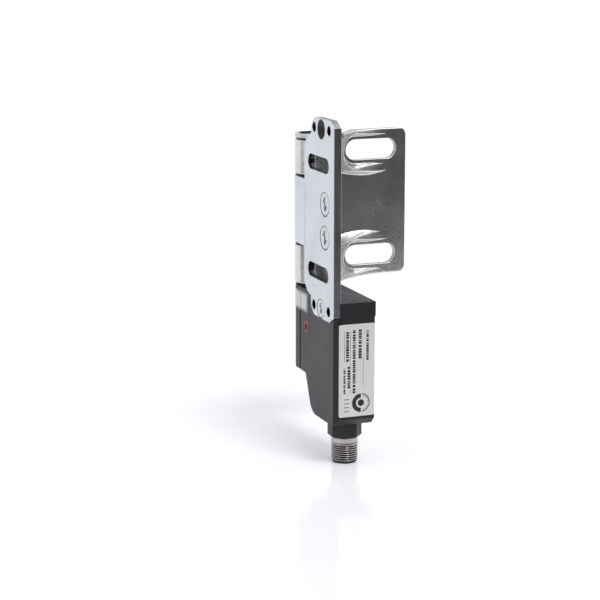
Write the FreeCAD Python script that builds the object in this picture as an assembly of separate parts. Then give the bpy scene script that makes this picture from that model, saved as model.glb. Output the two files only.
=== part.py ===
import FreeCAD, Part
import math
import os

from FreeCAD import Vector

# Hinge safety switch, in millimetres. X = 0 is the mounting face of the fixed leaf, +X runs
# inwards to the housing, +Y from the leaf to the hinge axis, +Z up. The origin is the middle
# of the fixed leaf's slot pattern. The switch is modelled with its door 90 degrees open.

# Hinge
sheet = 3.5                      # thickness of both leaves
knuckle_r = 10.0                 # outside radius of the rolled knuckles
axis_y = 27.1                    # hinge axis from the middle of the slot pattern
roll_sweep = 298.0               # how far a knuckle is rolled, degrees
shaft_r = 5.0                    # shaft in the knuckles
run_gap = 0.05                   # radial and axial running clearance
flange_t = 0.5                   # flange of a bearing bush
frame_knuckle_len = 30.8         # middle knuckle
door_turn = 90.0                 # travel each way from the modelled pose, degrees

# Fixed leaf
front_y = -18.6                  # front edge
tab_rise = 10.25                 # tab's end above the door leaf's edge
tab_y = 8.7                      # hinge side of the tabs
tab_r = 6.0                      # corner radius of the tabs
nose_y = 5.1                     # front corner cut, along Y
nose_z = 2.85                    # front corner cut, along Z
shoulder_rise = 2.2              # shoulder above the door leaf's edge
cut_y = 16.65                    # edge beside the door knuckles
slot_len = 24.7
slot_w = 6.6
slot_z = 24.0
hole_r = 2.2                     # plain tab holes
hole_pitch = 17.4
hole_in = 4.55                   # hole row from the tab's end
hole_y = -3.65                   # middle of the tab's hole row
centre_head_r = 4.0              # countersink in the middle of a tab
centre_shank_r = 2.0
stud_y = -8.05                   # flush screws in the leaf
stud_z = 7.35
stud_head_r = 5.0
stud_shank_r = 2.5
stud_proud = 1.0                 # how far a flush screw's end stands out inside
recess_reach = 0.62              # one-way recess, as shares of the screw head's radius
recess_slot = 0.13
recess_ramp = 0.43
recess_side = 0.38
recess_deep = 0.2

# Door leaf
door_half = 33.8                 # half height
door_reach = 46.6                # hinge axis to the far edge
door_corner_r = 3.0
rise_deg = 36.0                  # slope of the arms at the knuckle
bend_r = 38.0                    # bend between arm and flat plane
mid_gap = 0.6                    # flat middle part to the fixed knuckle
ramp_in = 13.0                   # where the pressed ramp meets the flat plane
ramp_lean = 0.45                 # how far the ramp leans out for each millimetre of rise
ramp_wall = 3.8                  # thickness of the ramp along Z
door_slot_x = 29.2               # slot middle from the hinge axis
door_slot_in = 9.3               # slot middle from the leaf's upper or lower edge
door_slot_len = 25.0
door_slot_w = 9.3
seat_margin = 1.85               # pressed seat around a slot
seat_wall = 2.6
seat_draft = 1.2                 # how much the seat widens towards the front
lower_trim = 0.2                 # lower knuckle above the leaf's lower edge

# Collar on the upper knuckle
cap_t = 1.9
cap_rise = 0.4                   # its top above the leaf's upper edge
cap_gap = 0.3
cap_edge = 0.3                   # bevel of its rims
cap_recess = 1.0                 # shaft end below its top
shaft_socket_r = 2.5             # socket in the shaft's end
shaft_socket_deep = 2.0

# Housing
house_half = 9.6                 # half width about the hinge axis
house_front = -19.3
house_gap = 1.0                  # below the door leaf
house_h = 55.2
wide_h = 38.5                    # height of the wide part above its ledge
ledge_y = 16.1                   # where the ledge meets the sloping back
back_low_y = 11.3
back_low_up = 6.0                # where the sloping back starts to round, above the bottom
back_mid_y = 8.6
back_mid_up = 1.9
back_end_y = 4.2
nose_cut = 3.0                   # bevel at the lower front edge
corner_cut = 1.9                 # bevel of the front corner beside the leaf
side_step = 0.4                  # cover side set back below the step
step_down = 6.6                  # step below the top
side_wall = 2.7                  # wall on the leaf's side
rim = 1.4                        # rim around the cover
gasket_w = 1.6
gasket_t = 0.6
cover_down = 7.8                 # top of the cover's outline below the housing's top
groove_y = 22.4
groove_w = 1.1
groove_d = 0.4
tab_gap = 0.15                   # fixed leaf in its pocket
boss_r = 2.3                     # bosses of the cover screws
boss_in = 1.6                    # corner bosses from the room's walls
boss_up = 3.2                    # lower front boss above the nut
boss_clear = 0.3                 # rear upper boss beside the small screw
ledge_boss_in = 1.15             # rear lower boss from the ledge
ledge_boss_down = 0.9
cover_screw_r = 1.1
cover_head_r = 2.0
cover_screw_len = 7.0
cross_reach = 1.2                # cross slot in a cover screw
cross_half = 0.24
house_screw_len = 12.0

# Labels and the small screw on the side
plate_t = 0.3
plate_side = 0.15                # name plate to the cover side's edge
plate_down = 9.3                 # name plate below the housing's top
plate_h = 41.5
tag_t = 0.15
tag_down = 1.8                   # tag below the housing's top
tag_h = 8.5
tag_y = 13.7
tag_wrap = 55.0                  # how far the tag follows the round back, degrees
set_y = 15.0
set_down = 16.8                  # small screw below the housing's top
set_r = 1.5
set_deep = 0.2                   # its face below the housing's side
driver_half = 0.25               # half width of a plain screw slot
driver_deep = 0.8

# Shaft, seal and cam
seal_flange_r = 9.0
seal_flange_t = 0.7
seal_r = 8.0
seal_depth = 3.0
cam_shaft_r = 3.5
pivot_r = 2.5
pivot_len = 4.6
pivot_boss_r = 4.4
pivot_boss_h = 5.3
pivot_free = 1.0                 # shoulder above the pivot's boss
cam_drop = 9.4                   # cam's middle and plunger axis below the roof
cam_t = 4.0
cam_mid_r = 5.6                  # cam radius at the modelled pose
cam_rate = 0.6                   # lift per radian
cam_half = 112.0                 # working stretch each side of the middle, degrees
cam_hub_r = 4.4
cam_hub_len = 4.0
cam_gap = 0.03
cam_pin_r = 0.8                  # cross pin of the cam
drive_r = 1.5                    # pins between knuckle and shaft
ring_t = 0.8
ring_r = 5.2
ring_groove = 0.7
ring_gap = 2.0

# Switching insert
rod_r = 1.8                      # front of the plunger
tail_r = 1.5                     # rear of the plunger
block_front = 13.0
block_rear = -5.0
block_gap = 1.0                  # block below the roof
block_x = 15.5                   # open side of the block
block_wall = 3.0
block_base = 1.8                 # block under the pocket, against the housing
block_rib = 1.8                  # block above and below its pocket
bridge_y = 6.0                   # middle of the contact bridge
bridge_t = 1.0
bridge_w = 9.0
strip_t = 0.6
strip_w = 3.0
strip_x = 2.5                    # contact strips each side of the plunger axis
strip_in = 3.6
tab_len = 1.8                    # solder tabs behind the block
contact_gap = 0.05               # between contact faces at the end of travel
spring_wire_r = 0.25
spring_r = 2.3
spring_turns = 5.5
insert_screw_r = 1.1
insert_screw_z = 4.4
insert_screw_deep = 1.9          # its thread in the housing's wall

# Connector
con_y = -7.4
con_pins_r = 2.5
collar_flats = 14.0
collar_h = 7.6
collar_edge = 1.6
neck_h = 2.8
thread_r = 6.0
thread_len = 8.7
thread_core = 5.45
thread_end = 0.7
spigot_r = 5.0
spigot_fit = 0.05
spigot_bore = 3.9
spigot_past = 1.0                # spigot beyond the nut
floor_t = 4.0
nut_r = 6.5
nut_t = 3.0
nut_slot = 2.0
socket_r = 4.9
socket_wall = 0.6
socket_depth = 7.6
key_w = 1.0                      # coding rib in the socket
key_h = 0.8
key_in = 1.0                     # its end inside the socket's rim
insert_top = 6.0                 # insert above the housing's inner floor
pin_r = 0.5
pin_inset = 1.0
pin_tail = 3.0
oring_r = 0.6
oring_squeeze = 0.97             # section of the seal ring against its groove
lead_r = 0.6
lead_bend = 1.6
lead_plane_low = -8.3
lead_plane_high = -10.7
lead_down = 7.0

# Derived places
axis_x = knuckle_r
tab_z = door_half + tab_rise
shoulder_z = door_half + shoulder_rise
hole_z = tab_z - hole_in
house_top = -door_half - house_gap
house_bottom = house_top - house_h
house_ledge = house_top - wide_h
back_low_z = house_bottom + back_low_up
back_mid_z = house_bottom + back_mid_up
step_z = house_top - step_down
cover_top = house_top - cover_down
plate_top = house_top - plate_down
plate_bottom = plate_top - plate_h
tag_top = house_top - tag_down
tag_bottom = tag_top - tag_h
set_z = house_top - set_down
bore_r = knuckle_r - sheet
door_in = frame_knuckle_len / 2 + flange_t + 2 * run_gap
door_slot_z = door_half - door_slot_in
door_mid = axis_x + knuckle_r + mid_gap
cap_top = door_half + cap_rise
upper_end = cap_top - cap_t - cap_gap
lower_end = -(door_half - lower_trim)
door_back = axis_y + knuckle_r
door_front = door_back - sheet
door_far = axis_x + door_reach
house_left = axis_x - house_half
house_right = axis_x + house_half
cover_face = house_right - side_step
wall_in = rim + gasket_w
cavity_left = house_left + side_wall
cavity_right = 2 * axis_x - cavity_left
cavity_r = axis_x - cavity_left
cover_inner = cavity_right + gasket_t
roof_z = cover_top - wall_in
cam_z = roof_z - cam_drop
block_half = cam_drop - block_gap
pocket_half = block_half - block_rib
rear_floor = house_ledge + wall_in
main_floor = house_bottom + floor_t
cam_low_z = cam_z - cam_t / 2
hub_low_z = cam_low_z - cam_hub_len
pivot_top = rear_floor + pivot_boss_h + pivot_free
collar_low = house_bottom - collar_h
neck_low = collar_low - neck_h
thread_low = neck_low - thread_len
spigot_top = main_floor + nut_t + spigot_past
travel = cam_rate * math.radians(door_turn)

UP = Vector(0, 0, 1)
IN = Vector(1, 0, 0)
BACK = Vector(0, 1, 0)


def save(shape, name):
    """Write one piece to its STEP file."""
    shape.exportStep("parts/" + name + ".step")


def box(x0, x1, y0, y1, z0, z1):
    return Part.makeBox(x1 - x0, y1 - y0, z1 - z0, Vector(x0, y0, z0))


def post(radius, x, y, z0, z1):
    """Upright round bar."""
    return Part.makeCylinder(radius, z1 - z0, Vector(x, y, z0), UP)


def bar_x(radius, y, z, x0, x1):
    """Round bar along X."""
    return Part.makeCylinder(radius, x1 - x0, Vector(x0, y, z), IN)


def cone_x(r0, r1, y, z, x0, x1):
    return Part.makeCone(r0, r1, x1 - x0, Vector(x0, y, z), IN)


def bar_y(radius, x, z, y0, y1):
    """Round bar along Y."""
    return Part.makeCylinder(radius, y1 - y0, Vector(x, y0, z), BACK)


def prism(edges, direction):
    """Solid made by moving a closed outline along a direction."""
    face = Part.Face(Part.Wire(Part.__sortEdges__(edges)))
    return face.extrude(direction)


def line(a, b):
    return Part.LineSegment(a, b).toShape()


def arc(a, middle, b):
    return Part.Arc(a, middle, b).toShape()


def loop(points):
    """Straight edges round a closed list of points."""
    return [line(a, b) for a, b in zip(points, points[1:] + points[:1])]


def stadium(cx, cz, length, width, y):
    """Outline of a slot along X, in the plane at height y."""
    r = width / 2
    h = length / 2 - r
    a = Vector(cx - h, y, cz + r)
    b = Vector(cx + h, y, cz + r)
    c = Vector(cx + h, y, cz - r)
    d = Vector(cx - h, y, cz - r)
    right = Vector(cx + h + r, y, cz)
    left = Vector(cx - h - r, y, cz)
    return [line(a, b), arc(b, right, c), line(c, d), arc(d, left, a)]


def slot_x(cy, cz, length, width, x0, x1):
    """Slot along Y that passes through in X."""
    r = width / 2
    h = length / 2 - r
    body = box(x0, x1, cy - h, cy + h, cz - r, cz + r)
    return body.fuse([bar_x(r, cy - h, cz, x0, x1), bar_x(r, cy + h, cz, x0, x1)])


def polar(radius, degrees):
    """Point at an angle about the hinge axis."""
    a = math.radians(degrees)
    return Vector(axis_x + radius * math.cos(a), axis_y + radius * math.sin(a), 0)


def eight_sided(centre, u, v, radius):
    """Closed eight-sided wire section of the same area as a round one."""
    r = radius * math.sqrt(math.pi / (2 * math.sqrt(2)))
    points = []
    for i in range(8):
        a = math.pi / 8 + i * math.pi / 4
        points.append(centre + u * (r * math.cos(a)) + v * (r * math.sin(a)))
    return Part.Wire(loop(points))


def rolled(start, z0, z1):
    """Sheet rolled clockwise about the hinge axis from the start angle."""
    end = start - roll_sweep
    middle = (start + end) / 2
    outer = arc(polar(knuckle_r, start), polar(knuckle_r, middle), polar(knuckle_r, end))
    inner = arc(polar(bore_r, start), polar(bore_r, middle), polar(bore_r, end))
    ends = [line(polar(bore_r, a), polar(knuckle_r, a)) for a in (start, end)]
    ring = prism([outer, inner] + ends, Vector(0, 0, z1 - z0))
    ring.translate(Vector(0, 0, z0))
    return ring


def leaf_half(sign, x, grow):
    """Edges of the fixed leaf's outline above (1) or below (-1) the middle, grown all round."""

    def at(y, z):
        return Vector(x, y, sign * z)

    k = math.sqrt(0.5)
    front = front_y - grow
    top = tab_z + grow
    side = tab_y + grow
    r = tab_r + grow
    step = shoulder_z + grow
    edge = cut_y + grow
    shoulder_r = cut_y - tab_y
    corner = at(side - r + r * k, top - r + r * k)
    shoulder = at(side + shoulder_r * k, step - shoulder_r + shoulder_r * k)
    return [
        line(at(front, 0), at(front, top - nose_z)),
        line(at(front, top - nose_z), at(front + nose_y, top)),
        line(at(front + nose_y, top), at(side - r, top)),
        arc(at(side - r, top), corner, at(side, top - r)),
        line(at(side, top - r), at(side, step)),
        arc(at(side, step), shoulder, at(edge, step - shoulder_r)),
        line(at(edge, step - shoulder_r), at(edge, 0)),
    ]


def leaf_blank(x0, x1, grow=0.0):
    """Flat blank of the fixed leaf without its knuckle."""
    return prism(leaf_half(1, x0, grow) + leaf_half(-1, x0, grow), Vector(x1 - x0, 0, 0))


def frame_leaf():
    """Fixed leaf: stamped plate with two slots and tabs, middle knuckle rolled from it."""
    half = frame_knuckle_len / 2
    plate = leaf_blank(0, sheet)
    strip = box(0, sheet, cut_y, axis_y, -half, half)
    leaf = plate.fuse([strip, rolled(180, -half, half)])
    cuts = [post(bore_r, axis_x, axis_y, -half, half)]
    for sign in (1, -1):
        cuts.append(slot_x(0, sign * slot_z, slot_len, slot_w, 0, sheet))
        for dy in (-hole_pitch / 2, hole_pitch / 2):
            cuts.append(bar_x(hole_r, hole_y + dy, sign * hole_z, 0, sheet))
        cuts.append(sunk_hole(centre_head_r, centre_shank_r, hole_y, sign * hole_z))
        cuts.append(sunk_hole(stud_head_r, stud_shank_r, stud_y, sign * stud_z))
    return leaf.cut(cuts).removeSplitter()


def sunk_hole(head_r, shank_r, y, z):
    """Countersunk hole through the fixed leaf."""
    depth = head_r - shank_r
    return cone_x(head_r, shank_r, y, z, 0, depth).fuse(bar_x(shank_r, y, z, 0, sheet))


def one_way_recess(head_r, y, z):
    """Security recess: a slot with one ramp pocket on each side of it."""
    half = head_r * recess_reach
    wide = head_r * recess_slot
    tall = head_r * recess_ramp
    side = head_r * recess_side
    deep = head_r * recess_deep
    slot = box(0, deep, y - wide, y + wide, z - half, z + half)
    ramp_a = box(0, deep / 2, y + wide, y + side, z + wide, z + tall)
    ramp_b = box(0, deep / 2, y - side, y - wide, z - tall, z - wide)
    return slot.fuse([ramp_a, ramp_b])


def sunk_screw(head_r, shank_r, y, z, length):
    """Countersunk screw, flush with the mounting face."""
    depth = head_r - shank_r
    body = cone_x(head_r, shank_r, y, z, 0, depth).fuse(bar_x(shank_r, y, z, 0, length))
    return body.cut(one_way_recess(head_r, y, z)).removeSplitter()


def plate_screws():
    """Two flush screws set in the fixed leaf."""
    length = sheet + stud_proud
    return Part.makeCompound([sunk_screw(stud_head_r, stud_shank_r, stud_y, z, length)
                              for z in (stud_z, -stud_z)])


def housing_screw():
    """Screw through the lower tab into the housing."""
    return sunk_screw(centre_head_r, centre_shank_r, hole_y, -hole_z, house_screw_len)


def arm_frame():
    """Tangent points and directions that shape the door leaf's arms, in plan."""
    a = math.radians(rise_deg)
    normal = Vector(math.sin(a), -math.cos(a), 0)
    centre = Vector(axis_x, axis_y, 0)
    rise = door_front - bend_r - axis_y
    run = (knuckle_r + bend_r - rise * normal.y) / normal.x
    bend = Vector(axis_x + run, axis_y + rise, 0)
    return centre, normal, bend


def arm_section(z, filled=False):
    """Closed section of an arm at height z, or of all between its front and the back plane."""
    centre, normal, bend = arm_frame()

    def lift(p):
        return Vector(p.x, p.y, z)

    root = lift(centre + normal * knuckle_r)
    front_end = lift(bend - normal * bend_r)
    front_mid = lift(bend + mid_direction() * bend_r)
    front_flat = Vector(bend.x, door_front, z)
    front_far = Vector(door_far, door_front, z)
    back_far = Vector(door_far, door_back, z)
    edges = [line(root, front_end), arc(front_end, front_mid, front_flat),
             line(front_flat, front_far), line(front_far, back_far)]
    if filled:
        corner = Vector(root.x, door_back, z)
        return edges + [line(back_far, corner), line(corner, root)]
    back_root = lift(centre + normal * bore_r)
    back_end = lift(bend - normal * (bend_r + sheet))
    back_mid = lift(bend + mid_direction() * (bend_r + sheet))
    back_flat = Vector(bend.x, door_back, z)
    return edges + [line(back_far, back_flat), arc(back_flat, back_mid, back_end),
                    line(back_end, back_root), line(back_root, root)]


def mid_direction():
    """Direction from the bend's centre to the middle of the bend."""
    a = math.radians(90 + rise_deg / 2)
    return Vector(math.cos(a), math.sin(a), 0)


def ramp_wedge(sign, wall):
    """All that lies on the middle's side of an arm's ramp, or of the ramp's outer face."""
    low_y = axis_y - knuckle_r
    foot = ramp_in + wall

    def at(y):
        return Vector(door_mid, y, sign * (foot + ramp_lean * (door_front - y)))

    corners = [Vector(door_mid, door_back, 0), at(door_back), at(low_y),
               Vector(door_mid, low_y, 0)]
    return prism(loop(corners), Vector(door_far - door_mid, 0, 0))


def seat_prism(sign, grow, y0, y1, draft=0.0):
    """Rounded prism around a slot's seat, wider at y0 when it has draft."""
    cx = axis_x + door_slot_x
    z = sign * door_slot_z
    length = door_slot_len + 2 * (seat_margin + grow)
    width = door_slot_w + 2 * (seat_margin + grow)
    far = Part.Wire(stadium(cx, z, length, width, y1))
    near = Part.Wire(stadium(cx, z, length + 2 * draft, width + 2 * draft, y0))
    return Part.makeLoft([near, far], True, True)


def door_arm(sign):
    """One arm of the door leaf with its ramp, pressed slot seat and rolled knuckle."""
    start = -(90 - rise_deg)
    low_y = axis_y - knuckle_r
    roll_end = upper_end if sign > 0 else lower_end
    z0, z1 = sorted((sign * ramp_in, sign * door_half))
    r0, r1 = sorted((sign * door_in, roll_end))
    g0, g1 = sorted((sign * ramp_in, sign * door_in))
    arm = prism(arm_section(z0), Vector(0, 0, z1 - z0))
    filled = prism(arm_section(z0, True), Vector(0, 0, z1 - z0))
    seat = seat_prism(sign, seat_wall, low_y, door_back)
    walls = filled.common(seat.fuse(ramp_wedge(sign, ramp_wall)))
    beside_knuckle = box(axis_x, door_mid, low_y, door_back, g0, g1)
    arm = arm.fuse(walls).cut([ramp_wedge(sign, 0), beside_knuckle])
    arm = arm.fuse(rolled(start, r0, r1))
    if sign > 0:
        arm = arm.cut(post(knuckle_r + cap_gap, axis_x, axis_y, upper_end, door_half))
    return arm


def rounded_corner(sign):
    """What is taken off an outer corner of the door leaf."""
    r = door_corner_r
    z0, z1 = sorted((sign * door_half, sign * (door_half - r)))
    corner = box(door_far - r, door_far, door_front, door_back, z0, z1)
    kept = bar_y(r, door_far - r, sign * (door_half - r), door_front, door_back)
    return corner.cut(kept)


def door_leaf():
    """Door leaf: flat plate pressed forwards into two arms that roll round the shaft."""
    foot = ramp_in + ramp_wall - ramp_lean * sheet
    flat = box(door_mid, door_far, door_front, door_back, -foot, foot)
    leaf = flat.fuse([door_arm(1), door_arm(-1)])
    cuts = [post(bore_r, axis_x, axis_y, -door_half, door_half)]
    for sign in (1, -1):
        slot = prism(stadium(axis_x + door_slot_x, sign * door_slot_z, door_slot_len,
                             door_slot_w, door_front), Vector(0, sheet, 0))
        seat = seat_prism(sign, 0, axis_y - knuckle_r, door_front, seat_draft)
        cuts += [slot, seat, rounded_corner(sign), drive_hole(sign)]
    return leaf.cut(cuts).removeSplitter()


def drive_z(sign):
    """Height of a drive pin: the middle of its knuckle."""
    end = upper_end if sign > 0 else -lower_end
    return sign * (door_in + end) / 2


def drive_hole(sign):
    """Hole for a drive pin, from the back of the knuckle into the shaft."""
    return bar_y(drive_r, axis_x, drive_z(sign), axis_y, door_back)


def drive_pins():
    """Two pins that lock the door leaf's knuckles to the shaft."""
    return Part.makeCompound([
        bar_y(drive_r, axis_x, drive_z(sign), axis_y, axis_y + knuckle_r - flange_t)
        for sign in (1, -1)])


def sleeve(sign):
    """Steel sleeve that fills a door knuckle's rolled bore."""
    end = upper_end if sign > 0 else -lower_end
    z0, z1 = sorted((sign * door_in, sign * end))
    ring = post(bore_r, axis_x, axis_y, z0, z1)
    return ring.cut([post(shaft_r, axis_x, axis_y, z0, z1), drive_hole(sign)])


def bush(sign):
    """Flanged plastic bush in one end of the middle knuckle."""
    half = frame_knuckle_len / 2
    z0, z1 = sorted((0.0, sign * half))
    f0, f1 = sorted((sign * half, sign * (half + flange_t)))
    tube = post(bore_r, axis_x, axis_y, z0, z1)
    flange = post(knuckle_r - flange_t, axis_x, axis_y, f0, f1)
    hole = post(shaft_r + run_gap, axis_x, axis_y, min(z0, f0), max(z1, f1))
    return tube.fuse(flange).cut(hole)


def end_cap():
    """Collar pressed on the shaft above the upper knuckle."""
    ring = post(knuckle_r, axis_x, axis_y, cap_top - cap_t, cap_top)
    edge = [e for e in ring.Edges if e.Curve.TypeId == "Part::GeomCircle"]
    ring = ring.makeChamfer(cap_edge, edge)
    return ring.cut(post(shaft_r, axis_x, axis_y, cap_top - cap_t, cap_top))


def hinge_shaft():
    """Stepped shaft through the knuckles, down into the housing."""
    pivot_low = rear_floor + pivot_boss_h - pivot_len
    shaft = post(shaft_r, axis_x, axis_y, roof_z, cap_top - cap_recess)
    shaft = shaft.fuse([post(cam_shaft_r, axis_x, axis_y, pivot_top, roof_z),
                        post(pivot_r, axis_x, axis_y, pivot_low, pivot_top)])
    groove_low = hub_low_z - ring_t - run_gap
    groove = post(cam_shaft_r, axis_x, axis_y, groove_low, groove_low + ring_t)
    groove = groove.cut(post(cam_shaft_r - ring_groove, axis_x, axis_y,
                             groove_low, groove_low + ring_t))
    shaft_top = cap_top - cap_recess
    socket = post(shaft_socket_r, axis_x, axis_y, shaft_top - shaft_socket_deep, shaft_top)
    cuts = [groove, socket, cam_pin(), drive_hole(1), drive_hole(-1)]
    return shaft.cut(cuts).removeSplitter()


def cam_profile():
    """Spiral outline of the cam: the inner parallel of the plunger nose's path."""
    pitch_mid = cam_mid_r + rod_r
    steps = 24
    points = []
    for i in range(steps + 1):
        turn = math.radians(cam_half * (2 * i / steps - 1))
        r = pitch_mid + cam_rate * turn
        a = turn - math.pi / 2
        radial = Vector(math.cos(a), math.sin(a), 0)
        across = Vector(-math.sin(a), math.cos(a), 0)
        tangent = radial * cam_rate + across * r
        normal = Vector(tangent.y, -tangent.x, 0)
        normal.normalize()
        centre = Vector(axis_x, axis_y, 0) + radial * r
        points.append(centre - normal * (rod_r + cam_gap))
    return points


def cam_disc():
    """Spiral cam with a hub, keyed to the shaft."""
    points = cam_profile()
    curve = Part.BSplineCurve()
    curve.interpolate(points)
    a0 = -90 - cam_half
    a1 = -90 + cam_half
    low = polar(cam_hub_r, a1)
    start = polar(cam_hub_r, a0)
    back = arc(low, polar(cam_hub_r, 90), start)
    edges = [curve.toShape(), line(points[-1], low), back, line(start, points[0])]
    disc = Part.Face(Part.Wire(edges)).extrude(Vector(0, 0, cam_t))
    disc.translate(Vector(0, 0, cam_low_z))
    hub = post(cam_hub_r, axis_x, axis_y, hub_low_z, cam_low_z + cam_t)
    bore = post(cam_shaft_r, axis_x, axis_y, hub_low_z, cam_low_z + cam_t)
    return disc.fuse(hub).cut([bore, cam_pin()]).removeSplitter()


def cam_pin():
    """Cross pin through the cam's hub and the shaft."""
    z = (hub_low_z + cam_low_z) / 2
    return bar_x(cam_pin_r, axis_y, z, axis_x - cam_hub_r + run_gap, axis_x + cam_hub_r - run_gap)


def retaining_ring():
    """Open spring ring in the shaft's groove under the cam."""
    low = hub_low_z - ring_t - run_gap
    ring = post(ring_r, axis_x, axis_y, low, low + ring_t)
    gap = box(axis_x - ring_gap / 2, axis_x + ring_gap / 2, axis_y, axis_y + ring_r,
              low, low + ring_t)
    inner = post(cam_shaft_r - ring_groove, axis_x, axis_y, low, low + ring_t)
    return ring.cut([inner, gap])


def shaft_seal():
    """Rubber lip seal pressed into the housing's top, with a flange on it."""
    flange = post(seal_flange_r, axis_x, axis_y, house_top, house_top + seal_flange_t)
    body = post(seal_r, axis_x, axis_y, house_top - seal_depth, house_top)
    hole = post(shaft_r + run_gap, axis_x, axis_y, house_top - seal_depth,
                house_top + seal_flange_t)
    return flange.fuse(body).cut(hole).removeSplitter()


def side_corners(top, back_y):
    """Corners of the housing seen from the side, as Y and Z, from its top front."""
    return [
        (house_front, top),
        (back_y, top),
        (back_y, house_ledge),
        (ledge_y, house_ledge),
        (back_low_y, back_low_z),
        (back_mid_y, back_mid_z),
        (back_end_y, house_bottom),
        (house_front + nose_cut, house_bottom),
        (house_front, house_bottom + nose_cut),
    ]


def drawn_in(corners, inset):
    """Corners of a clockwise outline moved until every side lies an inset further in."""
    moved = []
    for i, (y, z) in enumerate(corners):
        before = corners[i - 1]
        after = corners[(i + 1) % len(corners)]
        into = Vector(y - before[0], z - before[1], 0).normalize()
        out = Vector(after[0] - y, after[1] - z, 0).normalize()
        a = Vector(into.y, -into.x, 0)
        b = Vector(out.y, -out.x, 0)
        step = (a + b) * (inset / (1 + a.dot(b)))
        moved.append((y + step.x, z + step.y))
    return moved


def side_prism(corners, x0, x1):
    """Solid between two planes across X from the side corners, with the rounded back corner."""
    p = [Vector(x0, y, z) for y, z in corners]
    edges = [line(p[0], p[1]), line(p[1], p[2]), line(p[2], p[3]), line(p[3], p[4]),
             arc(p[4], p[5], p[6]), line(p[6], p[7]), line(p[7], p[8]), line(p[8], p[0])]
    return prism(edges, Vector(x1 - x0, 0, 0))


def cover_shape(inset, x0, x1):
    """Prism of the cover's outline, drawn in by an inset."""
    return side_prism(drawn_in(side_corners(cover_top, axis_y), inset), x0, x1)


def housing_outer():
    """Outside of the housing: flat front, round back, narrow foot."""
    back = axis_y + house_half
    plan = box(house_left, house_right, house_front, axis_y, house_bottom, house_top)
    plan = plan.fuse(post(house_half, axis_x, axis_y, house_bottom, house_top))
    side = side_prism(side_corners(house_top, back), house_left, house_right)
    outer = plan.common(side)
    corner = prism(loop([Vector(house_left, house_front, house_bottom),
                         Vector(house_left + corner_cut, house_front, house_bottom),
                         Vector(house_left, house_front + corner_cut, house_bottom)]),
                   Vector(0, 0, house_top - house_bottom))
    step = box(cover_face, house_right, house_front, back, house_bottom, step_z)
    return outer.cut([corner, step]).removeSplitter()


def cover_screw_places():
    """Places of the four cover screws, as Y and Z."""
    front = house_front + wall_in + boss_in
    top = roof_z - boss_in
    return [
        (front, top),
        (front, main_floor + nut_t + boss_up),
        (set_y + boss_r + boss_clear, top),
        (ledge_y - wall_in - ledge_boss_in, rear_floor - ledge_boss_down),
    ]


def housing_body():
    """Moulded housing: open to the cover side, blind over the screw and shaft block."""
    outer = housing_outer()
    room = cover_shape(wall_in, cavity_left, cavity_right)
    back_room = post(cavity_r, axis_x, axis_y, rear_floor, roof_z)
    link = box(cavity_left, cavity_right, axis_y - cavity_r, axis_y, rear_floor, roof_z)
    rebate = cover_shape(rim, cavity_right, cover_face)
    body = outer.cut([room, back_room, link, rebate])
    bosses = []
    for y, z in cover_screw_places():
        bosses.append(bar_x(boss_r, y, z, cavity_left, cavity_right))
    bosses.append(post(pivot_boss_r, axis_x, axis_y, rear_floor, rear_floor + pivot_boss_h))
    body = body.fuse([b.common(outer) for b in bosses])
    cuts = [
        post(shaft_r + run_gap, axis_x, axis_y, roof_z, house_top),
        post(seal_r, axis_x, axis_y, house_top - seal_depth, house_top),
        post(pivot_r + run_gap, axis_x, axis_y,
             rear_floor + pivot_boss_h - pivot_len - run_gap, rear_floor + pivot_boss_h),
        leaf_blank(0, sheet, tab_gap),
        box(0, sheet, house_front, front_y, -tab_z - tab_gap, house_top),
        bar_x(centre_shank_r, hole_y, -hole_z, sheet, house_screw_len),
        post(spigot_r + spigot_fit, axis_x, con_y, house_bottom, main_floor),
        bar_x(set_r, set_y, set_z, house_left, cavity_left),
        box(house_left, house_left + groove_d, groove_y, groove_y + groove_w,
            house_ledge, tag_bottom),
    ]
    for y, z in cover_screw_places():
        cuts.append(bar_x(cover_screw_r, y, z, cover_face - cover_screw_len, cavity_right))
    for y, z in insert_screw_places():
        cuts.append(bar_x(insert_screw_r, y, z, cavity_left - insert_screw_deep, cavity_left))
    return body.cut(cuts).removeSplitter()


def housing_cover():
    """Cover of the hidden side, let into the housing's rim."""
    cover = cover_shape(rim, cover_inner, cover_face)
    for y, z in cover_screw_places():
        depth = cover_head_r - cover_screw_r
        cover = cover.cut([bar_x(cover_screw_r, y, z, cover_inner, cover_face),
                           cone_x(cover_screw_r, cover_head_r, y, z,
                                  cover_face - depth, cover_face)])
    return cover.removeSplitter()


def cover_gasket():
    """Flat seal between the housing's ledge and the cover."""
    ring = cover_shape(rim, cavity_right, cover_inner)
    hole = cover_shape(wall_in, cavity_right, cover_inner)
    eyes = [bar_x(boss_r, y, z, cavity_right, cover_inner) for y, z in cover_screw_places()]
    holes = [bar_x(cover_screw_r, y, z, cavity_right, cover_inner)
             for y, z in cover_screw_places()]
    return ring.cut(hole).fuse([e.common(ring) for e in eyes]).cut(holes).removeSplitter()


def cover_screws():
    """Four countersunk screws of the cover, with cross slots."""
    screws = []
    for y, z in cover_screw_places():
        depth = cover_head_r - cover_screw_r
        head = cone_x(cover_screw_r, cover_head_r, y, z, cover_face - depth, cover_face)
        body = head.fuse(bar_x(cover_screw_r, y, z, cover_face - cover_screw_len, cover_face))
        low = cover_face - depth
        slots = [box(low, cover_face, y - cross_reach, y + cross_reach,
                     z - cross_half, z + cross_half),
                 box(low, cover_face, y - cross_half, y + cross_half,
                     z - cross_reach, z + cross_reach)]
        screws.append(body.cut(slots).removeSplitter())
    return Part.makeCompound(screws)


def name_plate():
    """Thin metal plate on the housing's front."""
    return box(house_left + corner_cut, cover_face - plate_side, house_front - plate_t,
               house_front, plate_bottom, plate_top)


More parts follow.
